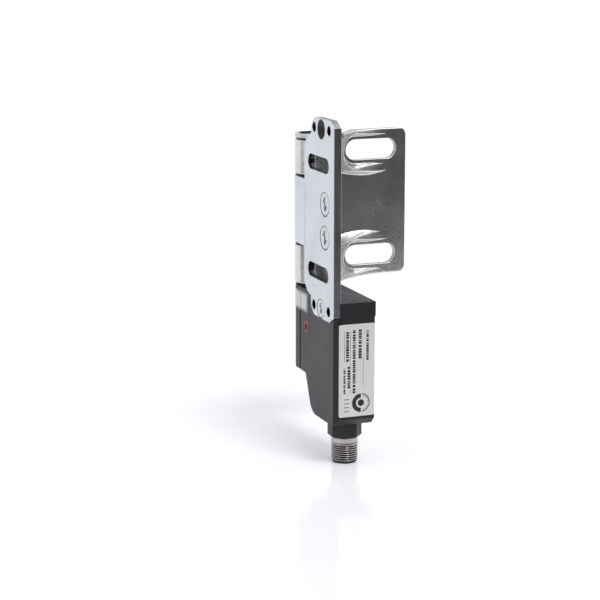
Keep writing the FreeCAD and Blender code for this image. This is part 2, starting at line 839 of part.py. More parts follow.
def side_label():
    """Thin plate on the side that follows the round back."""
    flat = box(house_left - tag_t, house_left, tag_y, axis_y, tag_bottom, tag_top)
    edges = []
    for r in (house_half, house_half + tag_t):
        edges.append(arc(polar(r, 180), polar(r, 180 - tag_wrap / 2), polar(r, 180 - tag_wrap)))
    for a in (180, 180 - tag_wrap):
        edges.append(line(polar(house_half, a), polar(house_half + tag_t, a)))
    wrap = prism(edges, Vector(0, 0, tag_top - tag_bottom))
    wrap.translate(Vector(0, 0, tag_bottom))
    return flat.fuse(wrap).removeSplitter()


def setting_screw():
    """Small slotted screw in the side, just below the surface."""
    face = house_left + set_deep
    body = bar_x(set_r, set_y, set_z, face, cavity_left)
    slot = box(face, face + driver_deep, set_y - set_r, set_y + set_r,
               set_z - driver_half, set_z + driver_half)
    return body.cut(slot)


def insert_screw_places():
    """Places of the two screws of the switching insert, as Y and Z."""
    return [
        (block_front - block_wall / 2, cam_z + insert_screw_z),
        (block_rear + block_wall / 2, cam_z - insert_screw_z),
    ]


def contact_strips():
    """Boxes of the four fixed contact strips, each bent into a solder tab."""
    half_t = bridge_t / 2
    closed = bridge_y + half_t + travel + contact_gap
    opened = bridge_y - half_t - travel - contact_gap
    strips = []
    for sign in (1, -1):
        for x, y0 in ((axis_x + strip_x, closed), (axis_x - strip_x, opened - strip_t)):
            x0 = x - strip_w / 2
            a0, a1 = sorted((cam_z + sign * strip_in, cam_z + sign * (pocket_half + strip_t)))
            b0, b1 = sorted((cam_z + sign * pocket_half,
                             cam_z + sign * (pocket_half + strip_t)))
            foot = box(x0, x0 + strip_w, y0, y0 + strip_t, a0, a1)
            run = box(x0, x0 + strip_w, block_rear - tab_len, y0 + strip_t, b0, b1)
            strips.append(foot.fuse(run).removeSplitter())
    return strips


def contact_block():
    """Moulded block that guides the plunger and holds the contact strips."""
    z0 = cam_z - block_half
    z1 = cam_z + block_half
    block = box(cavity_left, block_x, block_rear, block_front, z0, z1)
    pocket = box(cavity_left + block_base, block_x, block_rear + block_wall,
                 block_front - block_wall, cam_z - pocket_half, cam_z + pocket_half)
    cuts = [pocket,
            bar_y(rod_r + run_gap, axis_x, cam_z, block_front - block_wall, block_front),
            bar_y(tail_r + run_gap, axis_x, cam_z, block_rear, block_rear + block_wall)]
    for y, z in insert_screw_places():
        cuts.append(bar_x(insert_screw_r, y, z, cavity_left, block_x))
    return block.cut(cuts + contact_strips()).removeSplitter()


def block_screws():
    """Two pan-head screws of the switching insert."""
    screws = []
    for y, z in insert_screw_places():
        shank = bar_x(insert_screw_r, y, z, cavity_left - insert_screw_deep, block_x)
        head = bar_x(block_wall / 2, y, z, block_x, block_x + insert_screw_r)
        slot = box(block_x + insert_screw_r / 2, block_x + insert_screw_r, y - block_wall,
                   y + block_wall, z - driver_half, z + driver_half)
        screws.append(shank.fuse(head).cut(slot).removeSplitter())
    return Part.makeCompound(screws)


def plunger():
    """Round-nosed rod that follows the cam and carries the contact bridge."""
    nose = axis_y - cam_mid_r - rod_r
    shoulder = bridge_y + bridge_t / 2
    rod = bar_y(rod_r, axis_x, cam_z, shoulder, nose)
    tip = Part.makeSphere(rod_r, Vector(axis_x, nose, cam_z))
    tail = bar_y(tail_r, axis_x, cam_z, block_rear - tab_len, shoulder)
    return rod.fuse([tip, tail]).removeSplitter()


def contact_bridge():
    """Moving contact strip, held on the plunger's shoulder by the spring."""
    y0 = bridge_y - bridge_t / 2
    z_end = pocket_half - strip_t
    strip = box(axis_x - bridge_w / 2, axis_x + bridge_w / 2, y0, y0 + bridge_t,
                cam_z - z_end, cam_z + z_end)
    return strip.cut(bar_y(tail_r, axis_x, cam_z, y0, y0 + bridge_t))


def return_spring():
    """Coil spring between the block's rear wall and the contact bridge."""
    y0 = block_rear + block_wall + spring_wire_r
    y1 = bridge_y - bridge_t / 2 - spring_wire_r
    pitch = (y1 - y0) / spring_turns
    path = Part.makeHelix(pitch, y1 - y0, spring_r)
    profile = eight_sided(Vector(spring_r, 0, 0), IN, UP, spring_wire_r)
    coil = Part.Wire(path.Edges).makePipeShell([profile], True, True)
    coil.rotate(Vector(0, 0, 0), IN, -90)
    coil.translate(Vector(axis_x, y0, cam_z))
    return coil


def octagon(flats, z0, z1):
    """Upright octagonal bar about the connector's axis."""
    r = flats / 2 / math.cos(math.pi / 8)
    points = []
    for i in range(8):
        a = math.pi / 8 + i * math.pi / 4
        points.append(Vector(axis_x + r * math.cos(a), con_y + r * math.sin(a), z0))
    return prism(loop(points), Vector(0, 0, z1 - z0))


def connector_shell():
    """Turned shell: octagon collar, round neck, thread and a spigot into the housing."""
    collar = octagon(collar_flats, collar_low, house_bottom)
    limit = Part.makeCone(collar_flats / 2 - collar_edge / 3, collar_flats / 2 + collar_h,
                          collar_h + collar_edge / 3, Vector(axis_x, con_y, collar_low), UP)
    collar = collar.common(limit)
    neck = post(thread_r, axis_x, con_y, neck_low, collar_low)
    thread = post(thread_r, axis_x, con_y, thread_low + thread_end, neck_low)
    tip = Part.makeCone(thread_core, thread_r, thread_end,
                        Vector(axis_x, con_y, thread_low), UP)
    spigot = post(spigot_r, axis_x, con_y, house_bottom, spigot_top)
    shell = collar.fuse([neck, thread, tip, spigot])
    groove = post(spigot_r + 2 * oring_r, axis_x, con_y,
                  house_bottom - 2 * oring_r, house_bottom)
    groove = groove.cut(post(spigot_r, axis_x, con_y,
                             house_bottom - 2 * oring_r, house_bottom))
    cuts = [groove,
            post(spigot_bore, axis_x, con_y, collar_low, spigot_top),
            post(socket_r, axis_x, con_y, thread_low, collar_low)]
    return shell.cut(cuts).removeSplitter()


def connector_insert():
    """Black insert: a stepped core that holds the pins, with a thin tube round them."""
    face = thread_low + socket_depth
    top = main_floor + insert_top
    core = post(socket_r, axis_x, con_y, thread_low, collar_low)
    upper = post(spigot_bore, axis_x, con_y, collar_low, top)
    hollow = post(socket_r - socket_wall, axis_x, con_y, thread_low, face)
    wall_y = con_y - socket_r + socket_wall
    key = box(axis_x - key_w / 2, axis_x + key_w / 2, wall_y - socket_wall / 2,
              wall_y + key_h, thread_low + key_in, face)
    insert = core.fuse(upper).cut(hollow).fuse(key)
    holes = [post(pin_r, x, y, face, top) for x, y in pin_places()]
    return insert.cut(holes).removeSplitter()


def pin_places():
    """Places of the four contact pins, as X and Y."""
    d = con_pins_r * math.sqrt(0.5)
    return [(axis_x + sx * d, con_y + sy * d) for sy in (-1, 1) for sx in (-1, 1)]


def connector_pins():
    """Four contact pins, tapered at the free end."""
    pins = []
    for x, y in pin_places():
        low = thread_low + pin_inset + pin_r
        pin = post(pin_r, x, y, low, main_floor + insert_top + pin_tail)
        tip = Part.makeCone(pin_r / 2, pin_r, pin_r, Vector(x, y, low - pin_r), UP)
        pins.append(pin.fuse(tip).removeSplitter())
    return Part.makeCompound(pins)


def connector_oring():
    """Seal ring between the collar and the housing."""
    centre = Vector(axis_x + spigot_r + oring_r, con_y, house_bottom - oring_r)
    section = Part.Face(eight_sided(centre, IN, UP, oring_r * oring_squeeze))
    return section.revolve(Vector(axis_x, con_y, 0), UP, 360)


def connector_nut():
    """Slotted ring nut inside the housing."""
    nut = post(nut_r, axis_x, con_y, main_floor, main_floor + nut_t)
    bore = post(spigot_r, axis_x, con_y, main_floor, main_floor + nut_t)
    slot = box(axis_x - nut_slot / 2, axis_x + nut_slot / 2, con_y - nut_r, con_y + nut_r,
               main_floor + nut_t / 2, main_floor + nut_t)
    return nut.cut([bore, slot]).removeSplitter()


def bent_wire(points, radius, bend):
    """Round wire along straight runs joined by tangent arcs."""
    edges = []
    last = points[0]
    for before, here, after in zip(points, points[1:], points[2:]):
        u = here - before
        v = after - here
        u.normalize()
        v.normalize()
        half = u.getAngle(v) / 2
        reach = bend * math.tan(half)
        start = here - u * reach
        end = here + v * reach
        inward = v - u
        inward.normalize()
        middle = here + inward * (bend / math.cos(half) - bend)
        edges += [line(last, start), arc(start, middle, end)]
        last = end
    edges.append(line(last, points[-1]))
    path = Part.Wire(edges)
    section = eight_sided(points[0], IN, UP, radius)
    return path.makePipeShell([section], True, False)


def inner_leads():
    """Four short leads from the solder tabs to the connector's pins."""
    pin_top = main_floor + insert_top + pin_tail
    places = pin_places()
    leads = []
    for i, sign in ((0, 1), (1, 1), (2, -1), (3, -1)):
        px, py = places[i]
        side = -1 if i % 2 == 0 else 1
        x = axis_x + side * strip_x
        z = cam_z + sign * (pocket_half + strip_t / 2)
        plane = lead_plane_high if sign > 0 else lead_plane_low
        tab_end = block_rear - tab_len
        points = [Vector(x, tab_end, z), Vector(x, plane, z),
                  Vector(x, plane, pin_top + lead_down), Vector(px, py, pin_top + lead_bend),
                  Vector(px, py, pin_top)]
        leads.append(bent_wire(points, lead_r, lead_bend / 2))
    return Part.makeCompound(leads)


def main():
    os.makedirs("parts", exist_ok=True)
    save(frame_leaf(), "frame_leaf")
    save(plate_screws(), "plate_screws")
    save(housing_screw(), "housing_screw")
    save(bush(1), "upper_bush")
    save(bush(-1), "lower_bush")
    save(door_leaf(), "door_leaf")
    save(sleeve(1), "upper_sleeve")
    save(sleeve(-1), "lower_sleeve")
    save(drive_pins(), "drive_pins")
    save(hinge_shaft(), "hinge_shaft")
    save(end_cap(), "end_cap")
    save(cam_disc(), "cam_disc")
    save(cam_pin(), "cam_pin")
    save(retaining_ring(), "retaining_ring")
    save(shaft_seal(), "shaft_seal")
    save(housing_body(), "housing_body")
    save(housing_cover(), "housing_cover")
    save(cover_gasket(), "cover_gasket")
    save(cover_screws(), "cover_screws")
    save(name_plate(), "name_plate")
    save(side_label(), "side_label")
    save(setting_screw(), "setting_screw")
    save(contact_block(), "contact_block")
    save(block_screws(), "block_screws")
    save(Part.makeCompound(contact_strips()), "fixed_contacts")
    save(plunger(), "plunger")
    save(contact_bridge(), "contact_bridge")
    save(return_spring(), "return_spring")
    save(connector_shell(), "connector_shell")
    save(connector_insert(), "connector_insert")
    save(connector_pins(), "connector_pins")
    save(connector_oring(), "connector_oring")
    save(connector_nut(), "connector_nut")
    save(inner_leads(), "inner_leads")


main()
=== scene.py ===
import math

import bmesh
import bpy
import numpy as np
from mathutils import Matrix, Vector
from mathutils.geometry import delaunay_2d_cdt


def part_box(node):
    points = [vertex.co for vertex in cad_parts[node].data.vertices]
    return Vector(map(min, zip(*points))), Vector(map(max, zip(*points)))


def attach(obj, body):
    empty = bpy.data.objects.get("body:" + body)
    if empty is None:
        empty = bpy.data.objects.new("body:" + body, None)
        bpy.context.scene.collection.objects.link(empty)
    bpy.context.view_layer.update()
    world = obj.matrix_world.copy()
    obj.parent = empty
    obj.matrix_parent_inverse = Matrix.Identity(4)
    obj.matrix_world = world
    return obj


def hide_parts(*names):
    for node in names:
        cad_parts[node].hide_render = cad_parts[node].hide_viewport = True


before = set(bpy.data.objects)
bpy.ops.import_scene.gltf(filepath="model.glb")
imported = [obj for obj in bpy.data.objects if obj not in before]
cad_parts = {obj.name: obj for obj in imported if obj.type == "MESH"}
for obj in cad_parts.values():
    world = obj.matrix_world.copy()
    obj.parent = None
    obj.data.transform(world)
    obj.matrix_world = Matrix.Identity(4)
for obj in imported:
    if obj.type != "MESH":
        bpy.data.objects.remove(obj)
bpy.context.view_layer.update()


# The studio: a white glossy table in a white room and a wide key light from the front right,
# whose soft shadow falls back to the left. Dark cards lie outside the picture and a bright one
# hangs above it, as on a photographer's set. Only mirrored light meets them, so the faces
# turned to the front read dark and the edges turned up stay bright.
MM = 0.001
FLOOR_GAP = 0.05 * MM
shell_low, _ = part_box("connector_shell")
floor_z = shell_low.z - FLOOR_GAP
view_azimuth = math.radians(-20.8)
view_pitch = math.radians(12.03)
view_from = Vector((-293.0, -749.2, 134.9)) * MM

camera = bpy.data.objects.new("camera", bpy.data.cameras.new("camera"))
camera.data.sensor_width = 36.0
camera.data.lens = 111.88
camera.data.clip_start = 0.01
back = Vector((math.sin(view_azimuth) * math.cos(view_pitch),
               -math.cos(view_azimuth) * math.cos(view_pitch), math.sin(view_pitch)))
turn = back.to_track_quat("Z", "Y").to_matrix().to_4x4()
camera.matrix_world = Matrix.Translation(view_from) @ turn
bpy.context.scene.collection.objects.link(camera)
bpy.context.scene.camera = camera
bpy.context.scene.view_settings.view_transform = "Standard"


def link(tree, source, target):
    """Join two sockets of a material."""
    tree.links.new(source, target)


def blank_material(name, colour, rough, metal=0.0):
    """New material with its shader's plain values set."""
    mat = bpy.data.materials.new(name)
    mat.use_nodes = True
    shader = mat.node_tree.nodes["Principled BSDF"]
    shader.inputs["Base Color"].default_value = (*colour, 1.0)
    shader.inputs["Roughness"].default_value = rough
    shader.inputs["Metallic"].default_value = metal
    return mat, mat.node_tree, shader


def stage_sheet(name, corners, mat):
    """Flat four-cornered piece of the set."""
    mesh = bpy.data.meshes.new(name)
    mesh.from_pydata(corners, [], [(0, 1, 2, 3)])
    mesh.materials.append(mat)
    obj = bpy.data.objects.new(name, mesh)
    bpy.context.scene.collection.objects.link(obj)
    return obj


def mapped(tree, value, low, high, start=0.0, end=1.0):
    """Value carried from the range start to end into the range low to high."""
    node = tree.nodes.new("ShaderNodeMapRange")
    for socket, number in (("From Min", start), ("From Max", end), ("To Min", low),
                           ("To Max", high)):
        node.inputs[socket].default_value = number
    link(tree, value, node.inputs["Value"])
    return node.outputs["Result"]


def table():
    """Wide white floor, level from the front to the back."""
    mat, _, shader = blank_material("table_white", (0.97, 0.97, 0.97), 0.12)
    shader.inputs["Specular IOR Level"].default_value = 0.5
    wide = 40.0
    stage_sheet("table", [(-wide, -wide, floor_z), (wide, -wide, floor_z),
                          (wide, wide, floor_z), (-wide, wide, floor_z)], mat)


def card(name, corners, glow):
    """Card that only mirrored light meets: dark, dimly lit or bright, and white underneath so
    that the table below it stays white."""
    mat, tree, shader = blank_material(name, (0.0, 0.0, 0.0), 1.0)
    shader.inputs["Specular IOR Level"].default_value = 0.0
    shader.inputs["Emission Color"].default_value = (1.0, 1.0, 1.0, 1.0)
    under_glow = 1.1
    side = tree.nodes.new("ShaderNodeNewGeometry").outputs["Backfacing"]
    link(tree, mapped(tree, side, glow, under_glow), shader.inputs["Emission Strength"])
    obj = stage_sheet(name, corners, mat)
    obj.visible_camera = False
    obj.visible_diffuse = False
    obj.visible_shadow = False


table()
card_z, card_high, lamp_high = floor_z + 1.0 * MM, 1.3, 0.9
card("card_front_floor", [(-2.2, -1.6, card_z), (1.8, -1.6, card_z),
                          (1.8, -0.23, card_z), (-2.2, -0.23, card_z)], 0.06)
card("card_front", [(1.8, -1.6, card_z), (-2.2, -1.6, card_z),
                    (-2.2, -1.6, card_high), (1.8, -1.6, card_high)], 0.12)
card("card_right_floor", [(0.25, -0.23, card_z), (1.8, -0.23, card_z),
                          (1.8, 0.45, card_z), (0.55, 0.45, card_z)], 0.3)
card("card_left_floor", [(-0.3, 0.02, card_z), (-0.3, 0.16, card_z),
                         (-1.0, 0.45, card_z), (-1.0, 0.02, card_z)], 0.06)
card("card_top", [(-0.35, 1.1, lamp_high), (0.9, 1.1, lamp_high),
                  (0.9, -0.2, lamp_high), (-0.35, -0.2, lamp_high)], 2.4)

# The room's walls are brighter at the horizon than overhead.
world = bpy.data.worlds.new("white_room")
world.use_nodes = True
room = world.node_tree
walls = room.nodes["Background"]
walls.inputs["Color"].default_value = (0.965, 0.985, 1.03, 1.0)
height = room.nodes.new("ShaderNodeSeparateXYZ")
link(room, room.nodes.new("ShaderNodeTexCoord").outputs["Generated"], height.inputs["Vector"])
link(room, mapped(room, height.outputs["Z"], 1.12, 0.82, end=0.4), walls.inputs["Strength"])
bpy.context.scene.world = world

# The key light's wide angle makes its shadow soft.
key_lamp = bpy.data.lights.new("light_key", "SUN")
key_lamp.energy = 1.35
key_lamp.angle = math.radians(22.0)
key_from = Vector((0.28, -0.96, 1.6))
key = bpy.data.objects.new("light_key", key_lamp)
key.matrix_world = key_from.to_track_quat("Z", "Y").to_matrix().to_4x4()
bpy.context.scene.collection.objects.link(key)


# Fixed leaf: stainless sheet, laser cut and deburred, ground flat with a fine vertical grain.
# Its middle strip is rolled into the centre knuckle, and it is screwed to the guard's post.
SHEET, EDGE = 3.5 * MM, 0.25 * MM
KNUCKLE = 10.0 * MM
AXIS = Vector((10.0, 27.1, 0.0)) * MM


def circle_loop(cx, cy, radius, count=48):
    """Circle, clockwise: centre plus radius times cosine and sine."""
    a = -np.linspace(0, 2 * np.pi, count, endpoint=False)
    return np.stack([cx + radius * np.cos(a), cy + radius * np.sin(a)], 1)


def slot_loop(cx, cy, length, width, count=20):
    """Slot along the first axis, clockwise: two half circles of half the width, joined."""
    r = width / 2
    reach = length / 2 - r
    a = np.linspace(np.pi / 2, -np.pi / 2, count)
    right = np.stack([cx + reach + r * np.cos(a), cy + r * np.sin(a)], 1)
    left = np.stack([cx - reach - r * np.cos(a), cy - r * np.sin(a)], 1)
    return np.concatenate([right, left])


def inward(loop):
    """Mitred normals of a closed loop, to the left of travel, which is into the sheet."""
    d = np.roll(loop, -1, 0) - loop
    d /= np.linalg.norm(d, axis=1)[:, None]
    n = np.stack([-d[:, 1], d[:, 0]], 1)
    before = np.roll(n, 1, 0)
    return (n + before) / (1 + (n * before).sum(1))[:, None]


def rounded_edge(thick, edge, steps=4):
    """Section of a sheet's edge: (inset, depth) pairs, a quarter round at each face."""
    a = np.linspace(0, np.pi / 2, steps)
    inset = edge * (1 - np.sin(a))
    depth = edge * (1 - np.cos(a))
    return np.concatenate([np.stack([inset, depth], 1),
                           np.stack([inset, thick - depth], 1)[::-1]])


def inside(points, loop):
    """Which points lie in a closed loop: an odd number of crossings to their right."""
    x, y = points[:, :1], points[:, 1:]
    a, b = loop, np.roll(loop, -1, 0)
    span = (a[:, 1] > y) != (b[:, 1] > y)
    with np.errstate(divide="ignore", invalid="ignore"):
        cut = a[:, 0] + (y - a[:, 1]) * (b[:, 0] - a[:, 0]) / (b[:, 1] - a[:, 1])
    return (span & (x < cut)).sum(1) % 2 == 1


def fill_loops(loops, extra=None):
    """Triangles between an outer loop and its holes, through any extra points."""
    points = np.concatenate(loops if extra is None else loops + [extra])
    edges = []
    start = 0
    for loop in loops:
        i = np.arange(len(loop)) + start
        edges += list(zip(i.tolist(), np.roll(i, -1).tolist()))
        start += len(loop)
    out = delaunay_2d_cdt([Vector(p) for p in points.tolist()], edges, [], 0, 1e-9)
    flat = np.array([(v.x, v.y) for v in out[0]])
    tris = np.array([f for f in out[2] if len(f) == 3])
    centre = flat[tris].mean(1)
    keep = inside(centre, loops[0])
    for loop in loops[1:]:
        keep &= ~inside(centre, loop)
    tris = tris[keep]
    a, b, c = flat[tris[:, 0]], flat[tris[:, 1]], flat[tris[:, 2]]
    turn = (b[:, 0] - a[:, 0]) * (c[:, 1] - a[:, 1]) - (b[:, 1] - a[:, 1]) * (c[:, 0] - a[:, 0])
    tris[turn < 0] = tris[turn < 0][:, ::-1]
    return flat, tris


def sheet_parts(loops, sections, place):
    """Closed sheet: every loop carries its section round, and both faces are filled.
    place turns (first, second, depth) columns into X, Y, Z. Also tells which faces are cut
    walls, those of the section's long steps: 1 at the outline and 2 in the holes."""
    verts, faces, cut, start = [], [], [], 0
    fronts, backs = [], []
    for loop, section in zip(loops, sections):
        n = inward(loop)
        ring = loop[:, None, :] + n[:, None, :] * section[None, :, :1]
        depth = np.broadcast_to(section[None, :, 1:], (len(loop), len(section), 1))
        verts.append(np.concatenate([ring, depth], 2).reshape(-1, 3))
        i = np.arange(len(loop))[:, None] * len(section)
        j = np.roll(i, -1, 0)
        k = np.arange(len(section) - 1)[None, :]
        quads = np.stack([i + k, i + k + 1, j + k + 1, j + k], 2).reshape(-1, 4) + start
        faces += quads.tolist()
        wall = (np.hypot(*np.diff(section, axis=0).T) > EDGE) * (1 if loop is loops[0] else 2)
        cut += np.tile(wall, len(loop)).tolist()
        start += verts[-1].shape[0]
        fronts.append(ring[:, 0])
        backs.append(ring[:, -1])
    for rims, depth, flip in ((fronts, sections[0][0, 1], False),
                              (backs, sections[0][-1, 1], True)):
        flat, tris = fill_loops(rims)
        verts.append(np.column_stack([flat, np.full(len(flat), depth)]))
        order = tris[:, ::-1] if flip else tris
        faces += (order + start).tolist()
        cut += [0] * len(order)
        start += len(flat)
    return place(np.concatenate(verts)), faces, cut


def make_piece(name, verts, faces, cut, mats, body, replaced=(), sharp=32.0, slot=None):
    """Mesh object from arrays: welded, faces turned outwards, smooth up to the sharp angle.
    Cut walls take the second material and the walls of holes the third."""
    weld = 2e-6
    mesh = bpy.data.meshes.new(name)
    mesh.from_pydata(np.asarray(verts).tolist(), [], [tuple(f) for f in faces])
    mesh.polygons.foreach_set("material_index", np.asarray(cut, dtype=np.int32))
    work = bmesh.new()
    work.from_mesh(mesh)
    bmesh.ops.remove_doubles(work, verts=work.verts, dist=weld)
    bmesh.ops.dissolve_degenerate(work, dist=weld / 4, edges=work.edges)
    bmesh.ops.recalc_face_normals(work, faces=work.faces)
    work.to_mesh(mesh)
    work.free()
    mesh.polygons.foreach_set("use_smooth", [True] * len(mesh.polygons))
    mesh.set_sharp_from_angle(angle=math.radians(sharp))
    for mat in mats:
        mesh.materials.append(mat)
    obj = bpy.data.objects.new(name, mesh)
    bpy.context.scene.collection.objects.link(obj)
    obj.modifiers.new("even_light", "WEIGHTED_NORMAL").keep_sharp = True
    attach(obj, body)
    if replaced:
        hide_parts(*replaced)


def noise(tree, coords, scale, detail):
    """Noise over some coordinates."""
    node = tree.nodes.new("ShaderNodeTexNoise")
    node.inputs["Scale"].default_value = scale
    node.inputs["Detail"].default_value = detail
    link(tree, coords, node.inputs["Vector"])
    return node.outputs["Fac"]


def raise_relief(tree, shader, height, strength, depth):
    """Fine relief on a material, from a height."""
    bump = tree.nodes.new("ShaderNodeBump")
    bump.inputs["Strength"].default_value = strength
    bump.inputs["Distance"].default_value = depth
    link(tree, height, bump.inputs["Height"])
    link(tree, bump.outputs["Normal"], shader.inputs["Normal"])


def metal(name, colour, rough, grain=(1.0, 1.0, 1.0), scale=900.0, bump=0.06, spread=0.1,
          marks=0.5):
    """Ground or rolled steel: noise drawn out along the grain sets tone, gloss and a fine
    relief, and a slow cloud adds handling marks."""
    cloud_scale, relief_depth = 55.0, 0.2 * MM
    mat, tree, shader = blank_material(name, colour, rough, 1.0)
    coords = tree.nodes.new("ShaderNodeTexCoord").outputs["Object"]
    stretch = tree.nodes.new("ShaderNodeMapping")
    stretch.inputs["Scale"].default_value = grain
    link(tree, coords, stretch.inputs["Vector"])
    fine = noise(tree, stretch.outputs["Vector"], scale, 4.0)
    cloud = noise(tree, coords, cloud_scale, 5.0)
    shade = tree.nodes.new("ShaderNodeVectorMath")
    shade.operation = "SCALE"
    shade.inputs[0].default_value = colour
    link(tree, mapped(tree, fine, 1.0 - spread, 1.0 + spread), shade.inputs["Scale"])
    link(tree, shade.outputs["Vector"], shader.inputs["Base Color"])
    gloss = mapped(tree, cloud, rough * (1 - 0.3 * marks), rough * (1 + 0.5 * marks), 0.3, 0.7)
    link(tree, gloss, shader.inputs["Roughness"])
    raise_relief(tree, shader, fine, bump, relief_depth)
    return mat


leaf_steel = metal("leaf_steel", (0.61, 0.625, 0.655), 0.34, grain=(1.0, 1.0, 0.6),
                   scale=1400.0, bump=0.16, spread=0.32, marks=0.6)
# Cut walls: a darker cut finish, darkened further as painted shade for the edges turned to the
# front.
cut_and_shade_steel = metal("cut_and_shade_steel", (0.2, 0.2, 0.21), 0.42, grain=(1.0, 1.0, 0.15), scale=500.0,
                  bump=0.2, spread=0.3)
# Painted shade: near-black steel for the walls of holes and bores and the cap's recess, where
# shade falls.
bore_shade_steel = metal("bore_shade_steel", (0.05, 0.047, 0.043), 0.3, scale=500.0, bump=0.1, spread=0.3)
leaf_finish = (leaf_steel, cut_and_shade_steel, bore_shade_steel)
LEAF_FRONT, LEAF_TOP, TAB_SIDE, CUT_SIDE = -18.6 * MM, 44.05 * MM, 8.7 * MM, 16.65 * MM
NOSE = Vector((5.1, 2.85)) * MM
TAB_R, SHOULDER_TOP = 6.0 * MM, 36.0 * MM
HOLE_Y, HOLE_Z, HOLE_PITCH, HOLE_R = -3.65 * MM, 39.5 * MM, 17.4 * MM, 2.2 * MM
SUNK_R, SHANK_R = 4.0 * MM, 2.0 * MM
STUD_Y, STUD_Z, STUD_R, STUD_SHANK = -8.05 * MM, 7.35 * MM, 5.0 * MM, 2.5 * MM
SEAT_GAP, SEAT_OFF = 0.4 * MM, 0.14 * MM
LEAF_SLOT_Z, LEAF_SLOT_LEN, LEAF_SLOT_W = 24.0 * MM, 24.7 * MM, 6.6 * MM


def arc_points(cx, cy, radius, start, end, count):
    """Arc: centre plus radius times cosine and sine, between two angles in degrees."""
    a = np.radians(np.linspace(start, end, count))
    return np.stack([cx + radius * np.cos(a), cy + radius * np.sin(a)], 1)


def leaf_outline():
    """Fixed leaf's outline, anticlockwise in Y and Z: its upper half, then that mirrored."""
    r = CUT_SIDE - TAB_SIDE
    shoulder = arc_points(TAB_SIDE, SHOULDER_TOP - r, r, 0, 90, 14)
    corner = arc_points(TAB_SIDE - TAB_R, LEAF_TOP - TAB_R, TAB_R, 0, 90, 12)
    nose = np.array([(LEAF_FRONT + NOSE.x, LEAF_TOP), (LEAF_FRONT, LEAF_TOP - NOSE.y)])
    upper = np.concatenate([shoulder, corner, nose])
    lower = upper[::-1] * (1, -1)
    return np.concatenate([upper, lower])


def sunk_edge(head, shank):
    """Section of a countersunk hole: cone from the head's radius, then straight."""
    depth = head - shank
    return np.array([(depth, 0), (0, depth), (0, (SHEET + depth) / 2), (0, SHEET)])


def fixed_leaf():
    """Flat leaf: its outline and, in each half, a slot, two tab holes, the countersunk hole
    between them and the wider one of a flush security screw."""
    loops, sections = [leaf_outline()], [rounded_edge(SHEET, EDGE)]
    for sign in (1, -1):
        loops.append(slot_loop(0, sign * LEAF_SLOT_Z, LEAF_SLOT_LEN, LEAF_SLOT_W))
        sections.append(rounded_edge(SHEET, EDGE))
        for shift in (-HOLE_PITCH / 2, HOLE_PITCH / 2):
            loops.append(circle_loop(HOLE_Y + shift, sign * HOLE_Z, HOLE_R))
            sections.append(rounded_edge(SHEET, EDGE))
        loops.append(circle_loop(HOLE_Y + SEAT_OFF, sign * HOLE_Z - SEAT_OFF, SHANK_R))
        sections.append(sunk_edge(SUNK_R + SEAT_GAP, SHANK_R))
        loops.append(circle_loop(STUD_Y + SEAT_OFF, sign * STUD_Z - SEAT_OFF, STUD_SHANK))
        sections.append(sunk_edge(STUD_R + SEAT_GAP, STUD_SHANK))
    return sheet_parts(loops, sections, lambda p: p[:, [2, 0, 1]])


def curl(start_deg, root):
    """Plan outline of a rolled strip: outer arc one way, inner arc back, then the root."""
    sweep = 298.0
    end_deg = start_deg - sweep
    outer = arc_points(AXIS.x, AXIS.y, KNUCKLE, start_deg, end_deg, 90)
    inner = arc_points(AXIS.x, AXIS.y, KNUCKLE - SHEET, end_deg, start_deg, 90)
    return np.concatenate([outer, inner, root])[::-1]


def rolled_strip(start_deg, root, z0, z1):
    """Rolled strip as a closed sheet that stands between two heights. Its triangles, which
    fill its ends, are cut walls."""
    loop = curl(start_deg, root)
    section = rounded_edge(z1 - z0, EDGE)
    verts, faces, _ = sheet_parts([loop], [section], lambda p: p + (0, 0, z0))
    return verts, faces, [int(len(face) == 3) for face in faces]


def joined(*parts):
    """Several lists of vertices, faces and cut walls as one."""
    verts, faces, cut, start = [], [], [], 0
    for v, f, c in parts:
        verts.append(v)
        faces += [[i + start for i in face] for face in f]
        cut += c
        start += len(v)
    return np.concatenate(verts), faces, cut


knuckle_half, overlap = 15.2 * MM, 1.0 * MM
leaf_root = np.array([(SHEET, CUT_SIDE - overlap), (0, CUT_SIDE - overlap)])
make_piece("fixed_leaf", *fixed_leaf(), leaf_finish, "switch", ["frame_leaf"],
           slot="leaf_steel")
make_piece("fixed_leaf_knuckle", *rolled_strip(180, leaf_root, -knuckle_half, knuckle_half),
           leaf_finish, "switch", slot="leaf_steel")


# Flush screws: two security screws in the leaf, and the one through the lower tab that
# holds the housing. They are plated steel, and their one-way recesses carry painted shade.
screw_steel = metal("screw_steel", (0.58, 0.59, 0.62), 0.3, spread=0.15)
# Painted shade: the recesses' near-black tone stands in for the shade inside them.
recess_shade_black = metal("recess_shade_black", (0.06, 0.06, 0.065), 0.5, scale=500.0, bump=0.1)
SCREW_EDGE, RECESS_FROM = 0.06 * MM, 0.1 * MM


def dress(node, mat):
    """Give a carried-over piece its finish."""
    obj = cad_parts[node]
    obj.data.materials.clear()
    obj.data.materials.append(mat)


